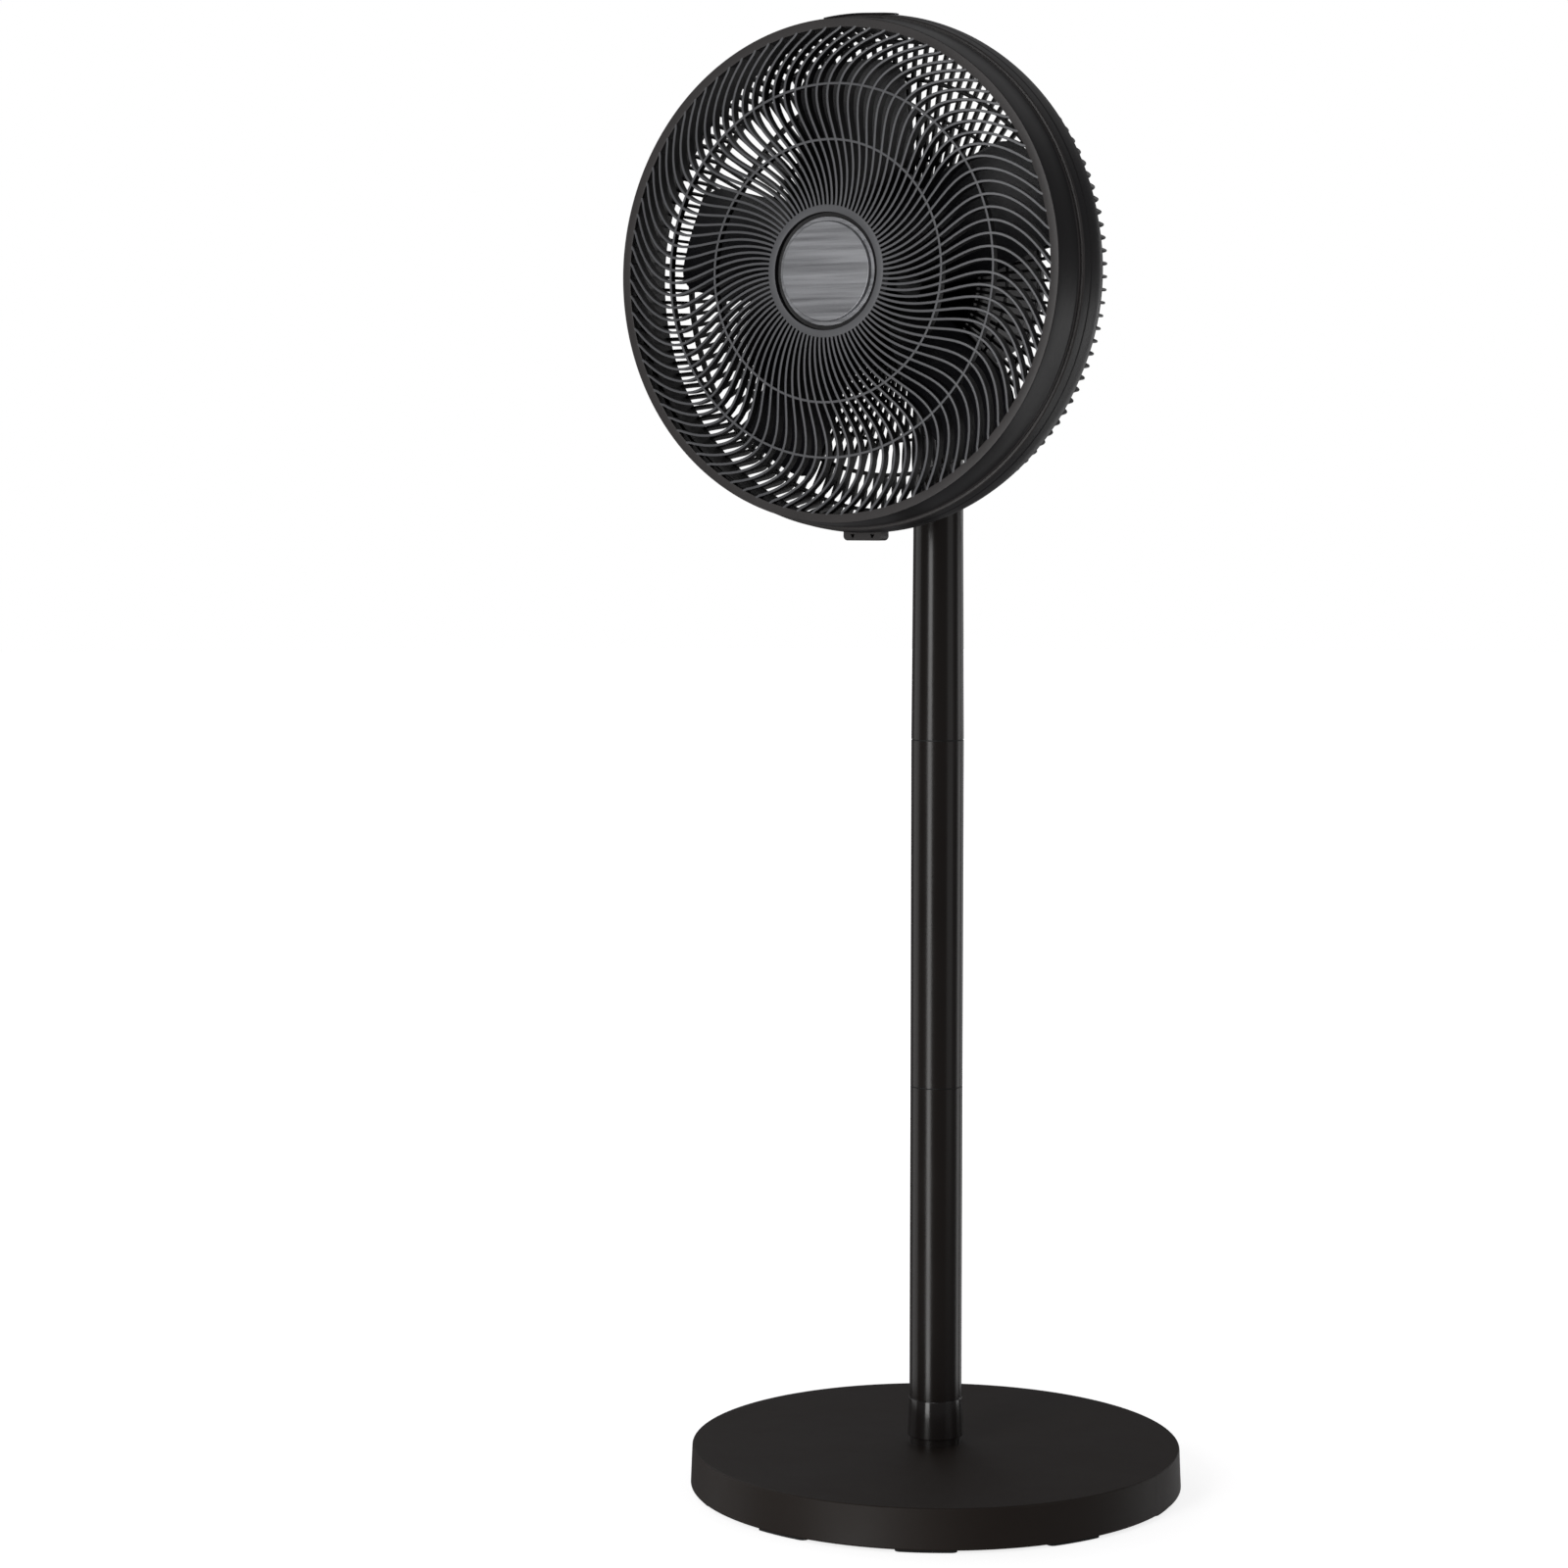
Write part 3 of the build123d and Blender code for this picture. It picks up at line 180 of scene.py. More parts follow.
# ---- Materials ----
def new_material(name):
    """A material with its node tree and its shader."""
    material = bpy.data.materials.new(name)
    material.use_nodes = True
    tree = material.node_tree
    return material, tree, tree.nodes["Principled BSDF"]


def noise(tree, scale, detail=2.0, stretch=(1, 1, 1)):
    """Noise in the piece's own coordinates, which are those of the CAD frame."""
    place = tree.nodes.new("ShaderNodeTexCoord")
    mapping = tree.nodes.new("ShaderNodeMapping")
    mapping.inputs["Scale"].default_value = stretch
    texture = tree.nodes.new("ShaderNodeTexNoise")
    texture.inputs["Scale"].default_value = scale
    texture.inputs["Detail"].default_value = detail
    tree.links.new(place.outputs["Object"], mapping.inputs["Vector"])
    tree.links.new(mapping.outputs["Vector"], texture.inputs["Vector"])
    return texture.outputs["Fac"]


def ranged(tree, value, low, high):
    """A noise value spread between two numbers."""
    spread = tree.nodes.new("ShaderNodeMapRange")
    spread.inputs["From Min"].default_value = NOISE_LOW
    spread.inputs["From Max"].default_value = NOISE_HIGH
    spread.inputs["To Min"].default_value = low
    spread.inputs["To Max"].default_value = high
    tree.links.new(value, spread.inputs["Value"])
    return spread.outputs["Result"]


def mottled(tree, value, color, spread):
    """A colour that varies by a small share with a noise value."""
    ramp = tree.nodes.new("ShaderNodeValToRGB")
    low, high = ramp.color_ramp.elements
    low.position = NOISE_LOW
    high.position = NOISE_HIGH
    low.color = [channel * (1 - spread) for channel in color] + [1]
    high.color = [channel * (1 + spread) for channel in color] + [1]
    tree.links.new(value, ramp.inputs["Fac"])
    return ramp.outputs["Color"]


def finish(
    name,
    color,
    roughness,
    grain=0.4,
    bump=0.1,
    spread=0.12,
    patch=30.0,
    metallic=0.0,
    coat=0.0,
    coat_roughness=0.1,
    specular=0.5,
    stretch=(1, 1, 1),
    patch_stretch=(1, 1, 1),
    ior=1.5,
):
    """A solid surface. grain is the size of its fine texture and patch that of its slow changes
    of colour and gloss, both in millimetres; bump is the strength of the grain and spread the
    share by which the colour varies; roughness is a (low, high) pair."""
    material, tree, shader = new_material(name)
    slow = noise(tree, 1 / (patch * MM), 3.0, patch_stretch)
    fine = noise(tree, 1 / (grain * MM), 3.0, stretch)
    tree.links.new(mottled(tree, slow, color, spread), shader.inputs["Base Color"])
    tree.links.new(ranged(tree, slow, *roughness), shader.inputs["Roughness"])
    relief = tree.nodes.new("ShaderNodeBump")
    relief.inputs["Strength"].default_value = bump
    relief.inputs["Distance"].default_value = 0.25 * grain * MM
    tree.links.new(fine, relief.inputs["Height"])
    tree.links.new(relief.outputs["Normal"], shader.inputs["Normal"])
    shader.inputs["Metallic"].default_value = metallic
    shader.inputs["IOR"].default_value = ior
    shader.inputs["Specular IOR Level"].default_value = specular
    shader.inputs["Coat Weight"].default_value = coat
    shader.inputs["Coat Roughness"].default_value = coat_roughness
    return material


FINISHES = {
    "base_matt_black": dict(
        color=(0.0220, 0.0160, 0.0125), roughness=(0.46, 0.54), grain=0.45, bump=0.5,
        spread=0.10, patch=60, specular=0.33,
    ),
    "cast_iron": dict(
        color=(0.10, 0.10, 0.105), roughness=(0.6, 0.8), grain=1.2, bump=0.8, spread=0.25,
        patch=8, metallic=0.6,
    ),
    "screw_steel": dict(
        color=(0.30, 0.30, 0.31), roughness=(0.25, 0.4), grain=0.3, bump=0.2, spread=0.15,
        patch=3, metallic=1.0,
    ),
    "rubber": dict(
        color=(0.018, 0.018, 0.018), roughness=(0.75, 0.9), grain=0.5, bump=0.5, spread=0.2,
        patch=6,
    ),
    "collar_black": dict(
        color=(0.0165, 0.0135, 0.0125), roughness=(0.14, 0.20), grain=0.8, bump=0.05,
        spread=0.1, patch=40, coat=0.5,
    ),
    "nut_plastic": dict(
        color=(0.03, 0.03, 0.03), roughness=(0.4, 0.55), grain=0.4, bump=0.2, spread=0.15,
        patch=10,
    ),
    "pole_black": dict(
        color=(0.0140, 0.0105, 0.0085), roughness=(0.20, 0.26), grain=1.1, bump=0.02,
        spread=0.1, patch=60,
    ),
    "coupler_plastic": dict(
        color=(0.008, 0.008, 0.008), roughness=(0.5, 0.6), grain=0.4, bump=0.2, spread=0.1,
        patch=10,
    ),
    "neck_black": dict(
        color=(0.0140, 0.0110, 0.0090), roughness=(0.18, 0.23), grain=0.6, bump=0.025,
        spread=0.1, patch=60,
    ),
    "inlet_black": dict(
        color=(0.01, 0.01, 0.01), roughness=(0.3, 0.4), grain=0.3, bump=0.1, spread=0.1,
        patch=4,
    ),
    "washer_nylon": dict(
        color=(0.65, 0.63, 0.58), roughness=(0.4, 0.5), grain=0.4, bump=0.1, spread=0.05,
        patch=8,
    ),
    "hinge_black": dict(
        color=(0.016, 0.016, 0.016), roughness=(0.35, 0.45), grain=0.4, bump=0.2, spread=0.1,
        patch=12,
    ),
    "shaft_steel": dict(
        color=(0.55, 0.55, 0.56), roughness=(0.15, 0.3), grain=0.2, bump=0.15, spread=0.1,
        patch=6, metallic=1.0, stretch=(1, 1, 8),
    ),
    "bush_bronze": dict(
        color=(0.42, 0.26, 0.12), roughness=(0.3, 0.45), grain=0.3, bump=0.2, spread=0.15,
        patch=5, metallic=1.0,
    ),
    "housing_black": dict(
        color=(0.017, 0.0165, 0.0165), roughness=(0.36, 0.46), grain=0.5, bump=0.3,
        spread=0.12, patch=35,
    ),
    "mount_aluminium": dict(
        color=(0.55, 0.56, 0.57), roughness=(0.35, 0.5), grain=0.5, bump=0.3, spread=0.1,
        patch=10, metallic=1.0,
    ),
    "lamination_steel": dict(
        color=(0.25, 0.26, 0.28), roughness=(0.35, 0.5), grain=0.5, bump=0.6, spread=0.2,
        patch=4, metallic=1.0, stretch=(0.1, 3, 0.1),
    ),
    "copper_wire": dict(
        color=(0.55, 0.22, 0.08), roughness=(0.2, 0.3), grain=0.35, bump=0.9, spread=0.2,
        patch=3, metallic=1.0, stretch=(0.2, 0.2, 3),
    ),
    "magnet_dark": dict(
        color=(0.05, 0.05, 0.055), roughness=(0.4, 0.6), grain=0.4, bump=0.4, spread=0.2,
        patch=5,
    ),
    "circuit_green": dict(
        color=(0.012, 0.09, 0.035), roughness=(0.25, 0.35), grain=0.8, bump=0.2, spread=0.25,
        patch=3, coat=0.3,
    ),
    "switch_black": dict(
        color=(0.02, 0.02, 0.02), roughness=(0.3, 0.4), grain=0.3, bump=0.1, spread=0.1,
        patch=3,
    ),
    "panel_gloss": dict(
        color=(0.008, 0.008, 0.0085), roughness=(0.06, 0.12), grain=0.9, bump=0.02, spread=0.1,
        patch=20, coat=0.5,
    ),
    "lens_dark": dict(
        color=(0.03, 0.004, 0.006), roughness=(0.04, 0.08), grain=0.6, bump=0.02, spread=0.2,
        patch=3, coat=1.0,
    ),
    "stepper_steel": dict(
        color=(0.5, 0.5, 0.51), roughness=(0.3, 0.4), grain=0.4, bump=0.2, spread=0.1, patch=8,
        metallic=1.0,
    ),
    "grille_black": dict(
        color=(0.0125, 0.0120, 0.0128), roughness=(0.34, 0.42), grain=0.4, bump=0.2,
        spread=0.08, patch=60,
    ),
    "hub_cap_brushed": dict(
        color=(0.36, 0.365, 0.38), roughness=(0.30, 0.44), grain=0.5, bump=0.4, spread=0.22,
        patch=3, metallic=0.75, stretch=(0.02, 1, 1), patch_stretch=(0.03, 1, 1),
    ),
    "blade_black": dict(
        color=(0.0095, 0.0095, 0.012), roughness=(0.30, 0.40), grain=0.6, bump=0.08,
        spread=0.12, patch=60, specular=0.3,
    ),
    "button_black": dict(
        color=(0.018, 0.018, 0.019), roughness=(0.3, 0.4), grain=0.3, bump=0.2, spread=0.1,
        patch=6,
    ),
}
MATERIALS = {name: finish(name, **values) for name, values in FINISHES.items()}

# Three finishes beside the slots': the faces of the slats; a lighter grey copy of the grille's
# black that paints a highlight on the face ring's front and lip, the rear rim's shoulder and the
# bottom clip; and the print on the buttons.
FACING_GREY = finish(
    "facing_grey",
    color=(0.155, 0.157, 0.165), roughness=(0.36, 0.44), grain=0.3, bump=0.1, spread=0.06,
    patch=40, metallic=0.15,
)
# Lighter copy of the grille's black plastic: a painted highlight on the rim's edges and on the
# clip.
PAINTED_HIGHLIGHT_GREY = finish(
    "painted_highlight_grey",
    color=(0.056, 0.051, 0.050), roughness=(0.34, 0.42), grain=0.4, bump=0.15, spread=0.08,
    patch=50,
)
PRINT_WHITE = finish(
    "print_white",
    color=(0.62, 0.63, 0.64), roughness=(0.5, 0.6), grain=0.2, bump=0.2, spread=0.06, patch=4,
)


def dress_cad_nodes():
    """Every CAD node gets its slot's procedural material in place of the plain packed one."""
    for part in frame["record"]["subparts"]:
        data = frame["nodes"][part["node"]].data
        data.materials.clear()
        data.materials.append(MATERIALS[part["material_slot"]])


# ---- Meshes ----
def add_piece(name, points, faces, body, slot, materials=None, indices=None, smooth=35.0):
    """A closed mesh that rides on a body. indices picks a material for each face."""
    mesh = bpy.data.meshes.new(name)
    mesh.from_pydata([tuple(point) for point in points], [], [tuple(face) for face in faces])
    for material in materials or [MATERIALS[slot]]:
        mesh.materials.append(material)
    if indices is not None:
        mesh.polygons.foreach_set("material_index", np.array(indices, np.int32))
    shape = bmesh.new()
    shape.from_mesh(mesh)
    bmesh.ops.recalc_face_normals(shape, faces=shape.faces)
    shape.to_mesh(mesh)
    shape.free()
    mesh.polygons.foreach_set("use_smooth", [True] * len(mesh.polygons))
    mesh.set_sharp_from_angle(angle=math.radians(smooth))
    piece = bpy.data.objects.new(name, mesh)
    bpy.context.scene.collection.objects.link(piece)
    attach(piece, body)
    return piece


def eased(corners, steps=3):
    """A closed outline of (radius, forward) points through (radius, forward, reach) corners,
    each rounded over its own reach, or sharp where that is zero."""
    places = [np.array(corner[:2], float) for corner in corners]
    outline = []
    for index, place in enumerate(places):
        reach = corners[index][2]
        if reach == 0:
            outline.append(place)
            continue
        before = places[index - 1] - place
        after = places[(index + 1) % len(places)] - place
        start = place + before * min(0.45, reach / np.linalg.norm(before))
        end = place + after * min(0.45, reach / np.linalg.norm(after))
        for step in range(steps + 1):
            t = step / steps
            outline.append((1 - t) ** 2 * start + 2 * t * (1 - t) * place + t * t * end)
    return np.array(outline)


def smooth_path(points, count):
    """Points on a smooth curve through a few given ones, evenly shared between these."""
    points = np.array(points, float)
    padded = np.vstack([2 * points[0] - points[1], points, 2 * points[-1] - points[-2]])
    places = np.linspace(0, len(points) - 1, count)
    spans = np.minimum(places.astype(int), len(points) - 2)
    t = (places - spans)[:, None]
    a, b, c, d = (padded[spans + shift] for shift in range(4))
    return 0.5 * (
        2 * b + (c - a) * t + (2 * a - 5 * b + 4 * c - d) * t**2 + (3 * b - a - 3 * c + d) * t**3
    )


def on_head(radius, angle, forward):
    """Points round the fan's axis, in the CAD frame."""
    radius, angle, forward = np.broadcast_arrays(radius, angle, forward)
    return np.stack([radius * np.cos(angle), -forward, HEAD_HEIGHT + radius * np.sin(angle)], -1)


def turned(outline, steps=ROUND_STEPS):
    """Points and faces of a closed outline of (radius, forward) turned round the fan's axis."""
    outline = np.array(outline)
    count = len(outline)
    angles = 2 * np.pi * np.arange(steps) / steps
    points = on_head(outline[None, :, 0], angles[:, None], outline[None, :, 1]).reshape(-1, 3)
    faces = []
    for turn in range(steps):
        here, there = turn * count, (turn + 1) % steps * count
        for index in range(count):
            after = (index + 1) % count
            faces.append((here + index, here + after, there + after, there + index))
    return points, faces


def skinned(rows):
    """Points and faces of a tube through closed rows of points, with flat ends."""
    count, around = rows.shape[:2]
    faces = [tuple(range(around)), tuple(range((count - 1) * around, count * around))]
    for row in range(count - 1):
        for index in range(around):
            after = (index + 1) % around
            low, high = row * around, (row + 1) * around
            faces.append((low + index, low + after, high + after, high + index))
    return rows.reshape(-1, 3), faces


def spun(points, angle):
    """Points turned round the fan's axis."""
    moved = np.array(points, float)
    x, z = moved[:, 0].copy(), moved[:, 2] - HEAD_HEIGHT
    moved[:, 0] = x * math.cos(angle) - z * math.sin(angle)
    moved[:, 2] = HEAD_HEIGHT + x * math.sin(angle) + z * math.cos(angle)
    return moved


def repeated(points, faces, count, first=0.0):
    """The same mesh, copied evenly round the fan's axis."""
    all_points, all_faces = [], []
    for index in range(count):
        shift = len(points) * index
        all_points.append(spun(points, first + 2 * math.pi * index / count))
        all_faces += [tuple(corner + shift for corner in face) for face in faces]
    return np.vstack(all_points), all_faces


def joined(*parts):
    """Several (points, faces) pairs as one."""
    all_points, all_faces, shift = [], [], 0
    for points, faces in parts:
        all_points.append(points)
        all_faces += [tuple(corner + shift for corner in face) for face in faces]
        shift += len(points)
    return np.vstack(all_points), all_faces


def marked(edges, steps):
    """Material indices of a turned outline's faces: 1 along the marked edges, 0 elsewhere."""
    return [1 if edge else 0 for edge in edges] * steps


def edges_between(flags):
    """The edges of a closed outline whose two ends are both flagged."""
    return flags & np.roll(flags, -1)


# ---- Front grille ----
def swirl(radius):
    """How far a slat has turned at a radius: out, and back again at the rim."""
    share = np.clip((radius - HUB_RADIUS) / (FACE_INNER - HUB_RADIUS), 0.0, 1.0)
    return SLAT_SWIRL * np.sin(np.pi * share**SWIRL_SKEW)


def dome(radius):
    """How far forward the slats' faces are at a radius."""
    share = np.clip((radius - DOME_START) / (FACE_INNER - DOME_START), 0.0, 1.0)
    return HUB_FORWARD + (FACE_FORWARD - HUB_FORWARD) * share**3


def bar_section(width, depth, crown):
    """Section of a moulded bar as (sideways, forward) points: a crowned face and drafted sides.
    The first five points, and so the first CROWN_EDGES edges, are its face."""
    half = width / 2
    return np.array(
        [
            (half, -0.9 * crown),
            (0.72 * half, -0.22 * crown),
            (0.0, 0.0),
            (-0.72 * half, -0.22 * crown),
            (-half, -0.9 * crown),
            (-0.96 * half, -2.2 * crown),
            (-0.70 * half, -depth + 0.2 * MM),
            (-0.45 * half, -depth),
            (0.45 * half, -depth),
            (0.70 * half, -depth + 0.2 * MM),
            (0.96 * half, -2.2 * crown),
        ]
    )


def make_slats():
    """Swirling slats, sunk a little into the hub plate and the face ring at their ends."""
    section = bar_section(SLAT_WIDTH, SLAT_DEPTH, SLAT_CROWN)
    radii = np.linspace(HUB_RADIUS - 0.6 * MM, FACE_INNER + 0.8 * MM, SLAT_STATIONS)
    middle = np.stack([radii * np.cos(swirl(radii)), radii * np.sin(swirl(radii))], -1)
    along = np.gradient(middle, axis=0)
    along /= np.linalg.norm(along, axis=1)[:, None]
    side = np.stack([-along[:, 1], along[:, 0]], -1)
    flat = middle[:, None, :] + side[:, None, :] * section[None, :, 0, None]
    forward = dome(radii)[:, None] + section[None, :, 1]
    rows = np.stack([flat[..., 0], -forward, HEAD_HEIGHT + flat[..., 1]], -1)
    points, faces = skinned(rows)
    crown = [edge < CROWN_EDGES for edge in range(len(section))]
    indices = [0, 0] + marked(crown, SLAT_STATIONS - 1)
    points, faces = repeated(points, faces, SLAT_COUNT)
    return add_piece(
        "front_slats",
        points,
        faces,
        "head",
        "grille_black",
        [MATERIALS["grille_black"], FACING_GREY],
        indices * SLAT_COUNT,
    )


def make_front_rings():
    """The two fine hoops that tie the slats together."""
    section = bar_section(FRONT_RING_WIDTH, FRONT_RING_DEPTH, FRONT_RING_CROWN)
    crown = [edge < CROWN_EDGES for edge in range(len(section))]
    parts, indices = [], []
    for radius in FRONT_RINGS:
        outline = section + np.array([radius, dome(radius) - 0.1 * MM])
        parts.append(turned(outline))
        indices += marked(crown, ROUND_STEPS)
    points, faces = joined(*parts)
    return add_piece(
        "front_rings",
        points,
        faces,
        "head",
        "grille_black",
        [MATERIALS["grille_black"], FACING_GREY],
        indices,
    )


def make_hub_plate():
    """Flat ring that the slats spring from, round a deep groove for the cap."""
    back = HUB_FORWARD - SLAT_DEPTH
    floor = HUB_FORWARD - GROOVE_DEPTH
    outline = eased(
        [
            (GROOVE_INNER, back, 0),
            (HUB_RADIUS, back, 0),
            (HUB_RADIUS, HUB_FORWARD, 0.5 * MM),
            (GROOVE_OUTER, HUB_FORWARD, 0.4 * MM),
            (GROOVE_OUTER, floor, 0.3 * MM),
            (GROOVE_INNER, floor, 0),
        ]
    )
    points, faces = turned(outline)
    front = edges_between(outline[:, 1] > HUB_FORWARD - 0.3 * MM)
    return add_piece(
        "hub_plate",
        points,
        faces,
        "head",
        "grille_black",
        [MATERIALS["grille_black"], FACING_GREY],
        marked(front, ROUND_STEPS),
    )


def make_face_ring():
    """Flat face ring and the flaring skirt behind it, which ends in a rolled lip; the face and the
    lip carry a painted highlight in a lighter grey.
    """
    outline = eased(
        [
            # the face
            (FACE_INNER, FACE_FORWARD, 0.4 * MM),
            (FACE_OUTER, FACE_FORWARD, 0.5 * MM),
            # the skirt's outside, steep at first and then flaring
            (FACE_OUTER + 1.3 * MM, FACE_FORWARD - 9.0 * MM, 4.0 * MM),
            (SKIRT_RADIUS - 1.0 * MM, SKIRT_BACK + 3.2 * MM, 1.0 * MM),
            # the lip
            (SKIRT_RADIUS - 0.3 * MM, SKIRT_BACK + 1.8 * MM, 0.7 * MM),
            (SKIRT_RADIUS - 0.3 * MM, SKIRT_BACK + 0.05 * MM, 0.2 * MM),
            (SKIRT_RADIUS - 2.2 * MM, SKIRT_BACK + 0.05 * MM, 0),
            # the inside, with a short wall that holds the slats' ends
            (FACE_OUTER - 2.2 * MM, FACE_FORWARD - FACE_THICK, 0),
            (FACE_INNER + 2.0 * MM, FACE_FORWARD - FACE_THICK, 0),
            (FACE_INNER + 2.0 * MM, FACE_FORWARD - SLAT_DEPTH, 0),
            (FACE_INNER, FACE_FORWARD - SLAT_DEPTH, 0.3 * MM),
        ],
        4,
    )
    points, faces = turned(outline, RIM_STEPS)
    radius, forward = outline.T
    # front and lip pick the faces drawn in the lighter grey: a painted highlight on the face and
    # on the lip's rolled edge.
    front = forward > FACE_FORWARD - 0.25 * MM
    lip = (forward < SKIRT_BACK + 2.6 * MM) & (radius > SKIRT_RADIUS - 1.0 * MM)
    return add_piece(
        "face_ring",
        points,
        faces,
        "head",
        "grille_black",
        [MATERIALS["grille_black"], PAINTED_HIGHLIGHT_GREY],
        marked(edges_between(front) | edges_between(lip), RIM_STEPS),
    )


def make_front_grille():
    slats = make_slats()
    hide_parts("front_grille")
    for piece in (make_front_rings(), make_hub_plate(), make_face_ring()):
        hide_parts("front_grille")


# ---- Rear grille ----
def wall_outline():
    """(radius, forward) points down the outside of an outer rib, from the rim to the divider."""
    return [
        (RIM_RADIUS - 2.6 * MM, RIM_BACK + 3.0 * MM),
        (RIM_RADIUS - 3.9 * MM, RIM_BACK - 0.5 * MM),
        (CORNER_RADIUS + 2.2 * MM, CORNER_BACK + 14.0 * MM),
        (CORNER_RADIUS + 0.7 * MM, CORNER_BACK + 7.0 * MM),
        (CORNER_RADIUS - 0.8 * MM, CORNER_BACK + 2.6 * MM),
        (CORNER_RADIUS - 3.6 * MM, CORNER_BACK + 0.4 * MM),
        (CORNER_RADIUS - 9.0 * MM, CORNER_BACK - 0.2 * MM),
        (140.0 * MM, CORNER_BACK - 0.7 * MM),
        (DIVIDER_RADIUS, DIVIDER_BACK),
    ]


def back_outline():
    """(radius, forward) points along the back of an inner rib, from the divider to the plate."""
    return [
        (DIVIDER_RADIUS, DIVIDER_BACK),
        (116.0 * MM, 62.3 * MM),
        (105.0 * MM, 59.0 * MM),
        (90.0 * MM, 54.0 * MM),
        (78.0 * MM, 50.0 * MM),
        (66.0 * MM, 46.6 * MM),
        (PLATE_RADIUS - 1.0 * MM, PLATE_BACK + 0.3 * MM),
    ]


def rib(outline, count):
    """One rib with a rounded outer edge, lying in the plane at angle zero."""
    outside = smooth_path(outline, count)
    along = np.gradient(outside, axis=0)
    along /= np.linalg.norm(along, axis=1)[:, None]
    inwards = np.stack([along[:, 1], -along[:, 0]], -1)
    half = RIB_WIDTH / 2
    section = [
        (0.0, 0.40),
        (0.10, 0.80),
        (0.28, 1.0),
        (0.94, 0.90),
        (1.0, 0.7),
        (1.0, -0.7),
        (0.94, -0.90),
        (0.28, -1.0),
        (0.10, -0.80),
        (0.0, -0.40),
    ]
    rows = []
    for depth, side in section:
        place = outside + inwards * depth * RIB_DEPTH
        height = np.full(len(place), HEAD_HEIGHT + side * half)
        rows.append(np.stack([place[:, 0], -place[:, 1], height], -1))
    return skinned(np.stack(rows, 1))


def make_ribs():
    outer_rib = rib(wall_outline(), OUTER_RIB_STATIONS)
    inner_rib = rib(back_outline(), INNER_RIB_STATIONS)
    points, faces = joined(
        repeated(*outer_rib, OUTER_RIBS, OUTER_RIB_START),
        repeated(*inner_rib, INNER_RIBS, INNER_RIB_START),
    )
    return add_piece("rear_ribs", points, faces, "head", "grille_black")


def make_hoops():
    """Hoops that tie the ribs together: at the corner, at the divider and further in."""
    corner_inner, corner_outer = CORNER_HOOP
    divider_inner, divider_outer = DIVIDER_RADIUS - 1.2 * MM, DIVIDER_RADIUS + 1.2 * MM
    bars = [
        (corner_inner, corner_outer, CORNER_BACK + 0.2 * MM, CORNER_BACK + HOOP_DEPTH),
        (divider_inner, divider_outer, DIVIDER_BACK + 0.1 * MM, DIVIDER_BACK + HOOP_DEPTH),
    ]
    rib_radii, rib_backs = np.array(back_outline())[::-1].T
    for radius in INNER_HOOPS:
        back = float(np.interp(radius, rib_radii, rib_backs)) + 0.7 * MM
        bars.append((radius - 1.0 * MM, radius + 1.0 * MM, back, back + INNER_HOOP_DEPTH))
    parts = []
    for inner, outer, back, front in bars:
        corners = [(inner, back), (outer, back), (outer, front), (inner, front)]
        parts.append(turned(eased([(*corner, HOOP_ROUNDING) for corner in corners])))
    points, faces = joined(*parts)
    return add_piece("rear_hoops", points, faces, "head", "grille_black")


def make_rear_rim():
    """Rolled rim with the inner lip that the front grille's skirt slips over; its shoulder behind
    the skirt carries a painted highlight in a lighter grey.
    """
    lip = SKIRT_RADIUS - 3.8 * MM
    outline = eased(
        [
            # the lip inside the skirt
            (lip - 2.0 * MM, RIM_FRONT - 2.0 * MM, 0),
            (lip - 2.0 * MM, SKIRT_BACK + 7.0 * MM, 0),
            (lip, SKIRT_BACK + 7.0 * MM, 0),
            (lip, RIM_FRONT, 0),
            # the shoulder behind the skirt and the outside, with a fine step
            (RIM_RADIUS - 1.9 * MM, RIM_FRONT, 1.1 * MM),
            (RIM_RADIUS - 1.2 * MM, RIM_FRONT - 8.0 * MM, 0.4 * MM),
            (RIM_RADIUS - 0.8 * MM, RIM_FRONT - 8.8 * MM, 0.4 * MM),
            (RIM_RADIUS + 0.1 * MM, RIM_BACK + 9.5 * MM, 6.0 * MM),
            # the rolled edge and the inside
            (RIM_RADIUS - 1.6 * MM, RIM_BACK + 1.5 * MM, 3.0 * MM),
            (RIM_RADIUS - 4.2 * MM, RIM_BACK, 1.0 * MM),
            (RIM_RADIUS - 6.4 * MM, RIM_BACK + 0.2 * MM, 0.8 * MM),
            (RIM_RADIUS - 7.0 * MM, RIM_FRONT - 6.0 * MM, 0),
        ]
    )
    points, faces = turned(outline, RIM_STEPS)
    forward = outline[:, 1]
    # The shoulder's faces get the lighter grey: a painted highlight along the step behind the
    # skirt.
    painted_shoulder_highlight = (forward > RIM_FRONT - 0.9 * MM) & (forward < RIM_FRONT + 0.1 * MM)
    return add_piece(
        "rear_rim",
        points,
        faces,
        "head",
        "grille_black",
        [MATERIALS["grille_black"], PAINTED_HIGHLIGHT_GREY],
        marked(painted_shoulder_highlight, RIM_STEPS),
    )


def make_rear_plate():
    """Centre plate with a stiffening step."""
    step = PLATE_RADIUS - 1.8 * MM
    outline = eased(
        [
            (PLATE_BORE, PLATE_BACK + 0.2 * MM, 0),
            (PLATE_RADIUS, PLATE_BACK + 0.2 * MM, 0.5 * MM),
            (PLATE_RADIUS, PLATE_BACK + RIB_DEPTH, 0.4 * MM),
            (step, PLATE_BACK + RIB_DEPTH, 0.4 * MM),
            (step, PLATE_BACK + PLATE_THICK, 0.4 * MM),
            (PLATE_BORE, PLATE_BACK + PLATE_THICK, 0),
        ]
    )
    points, faces = turned(outline, PLATE_STEPS)
    return add_piece("rear_plate", points, faces, "head", "grille_black")


def make_rear_grille():
    for piece in (make_ribs(), make_hoops(), make_rear_rim(), make_rear_plate()):
        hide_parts("rear_grille")


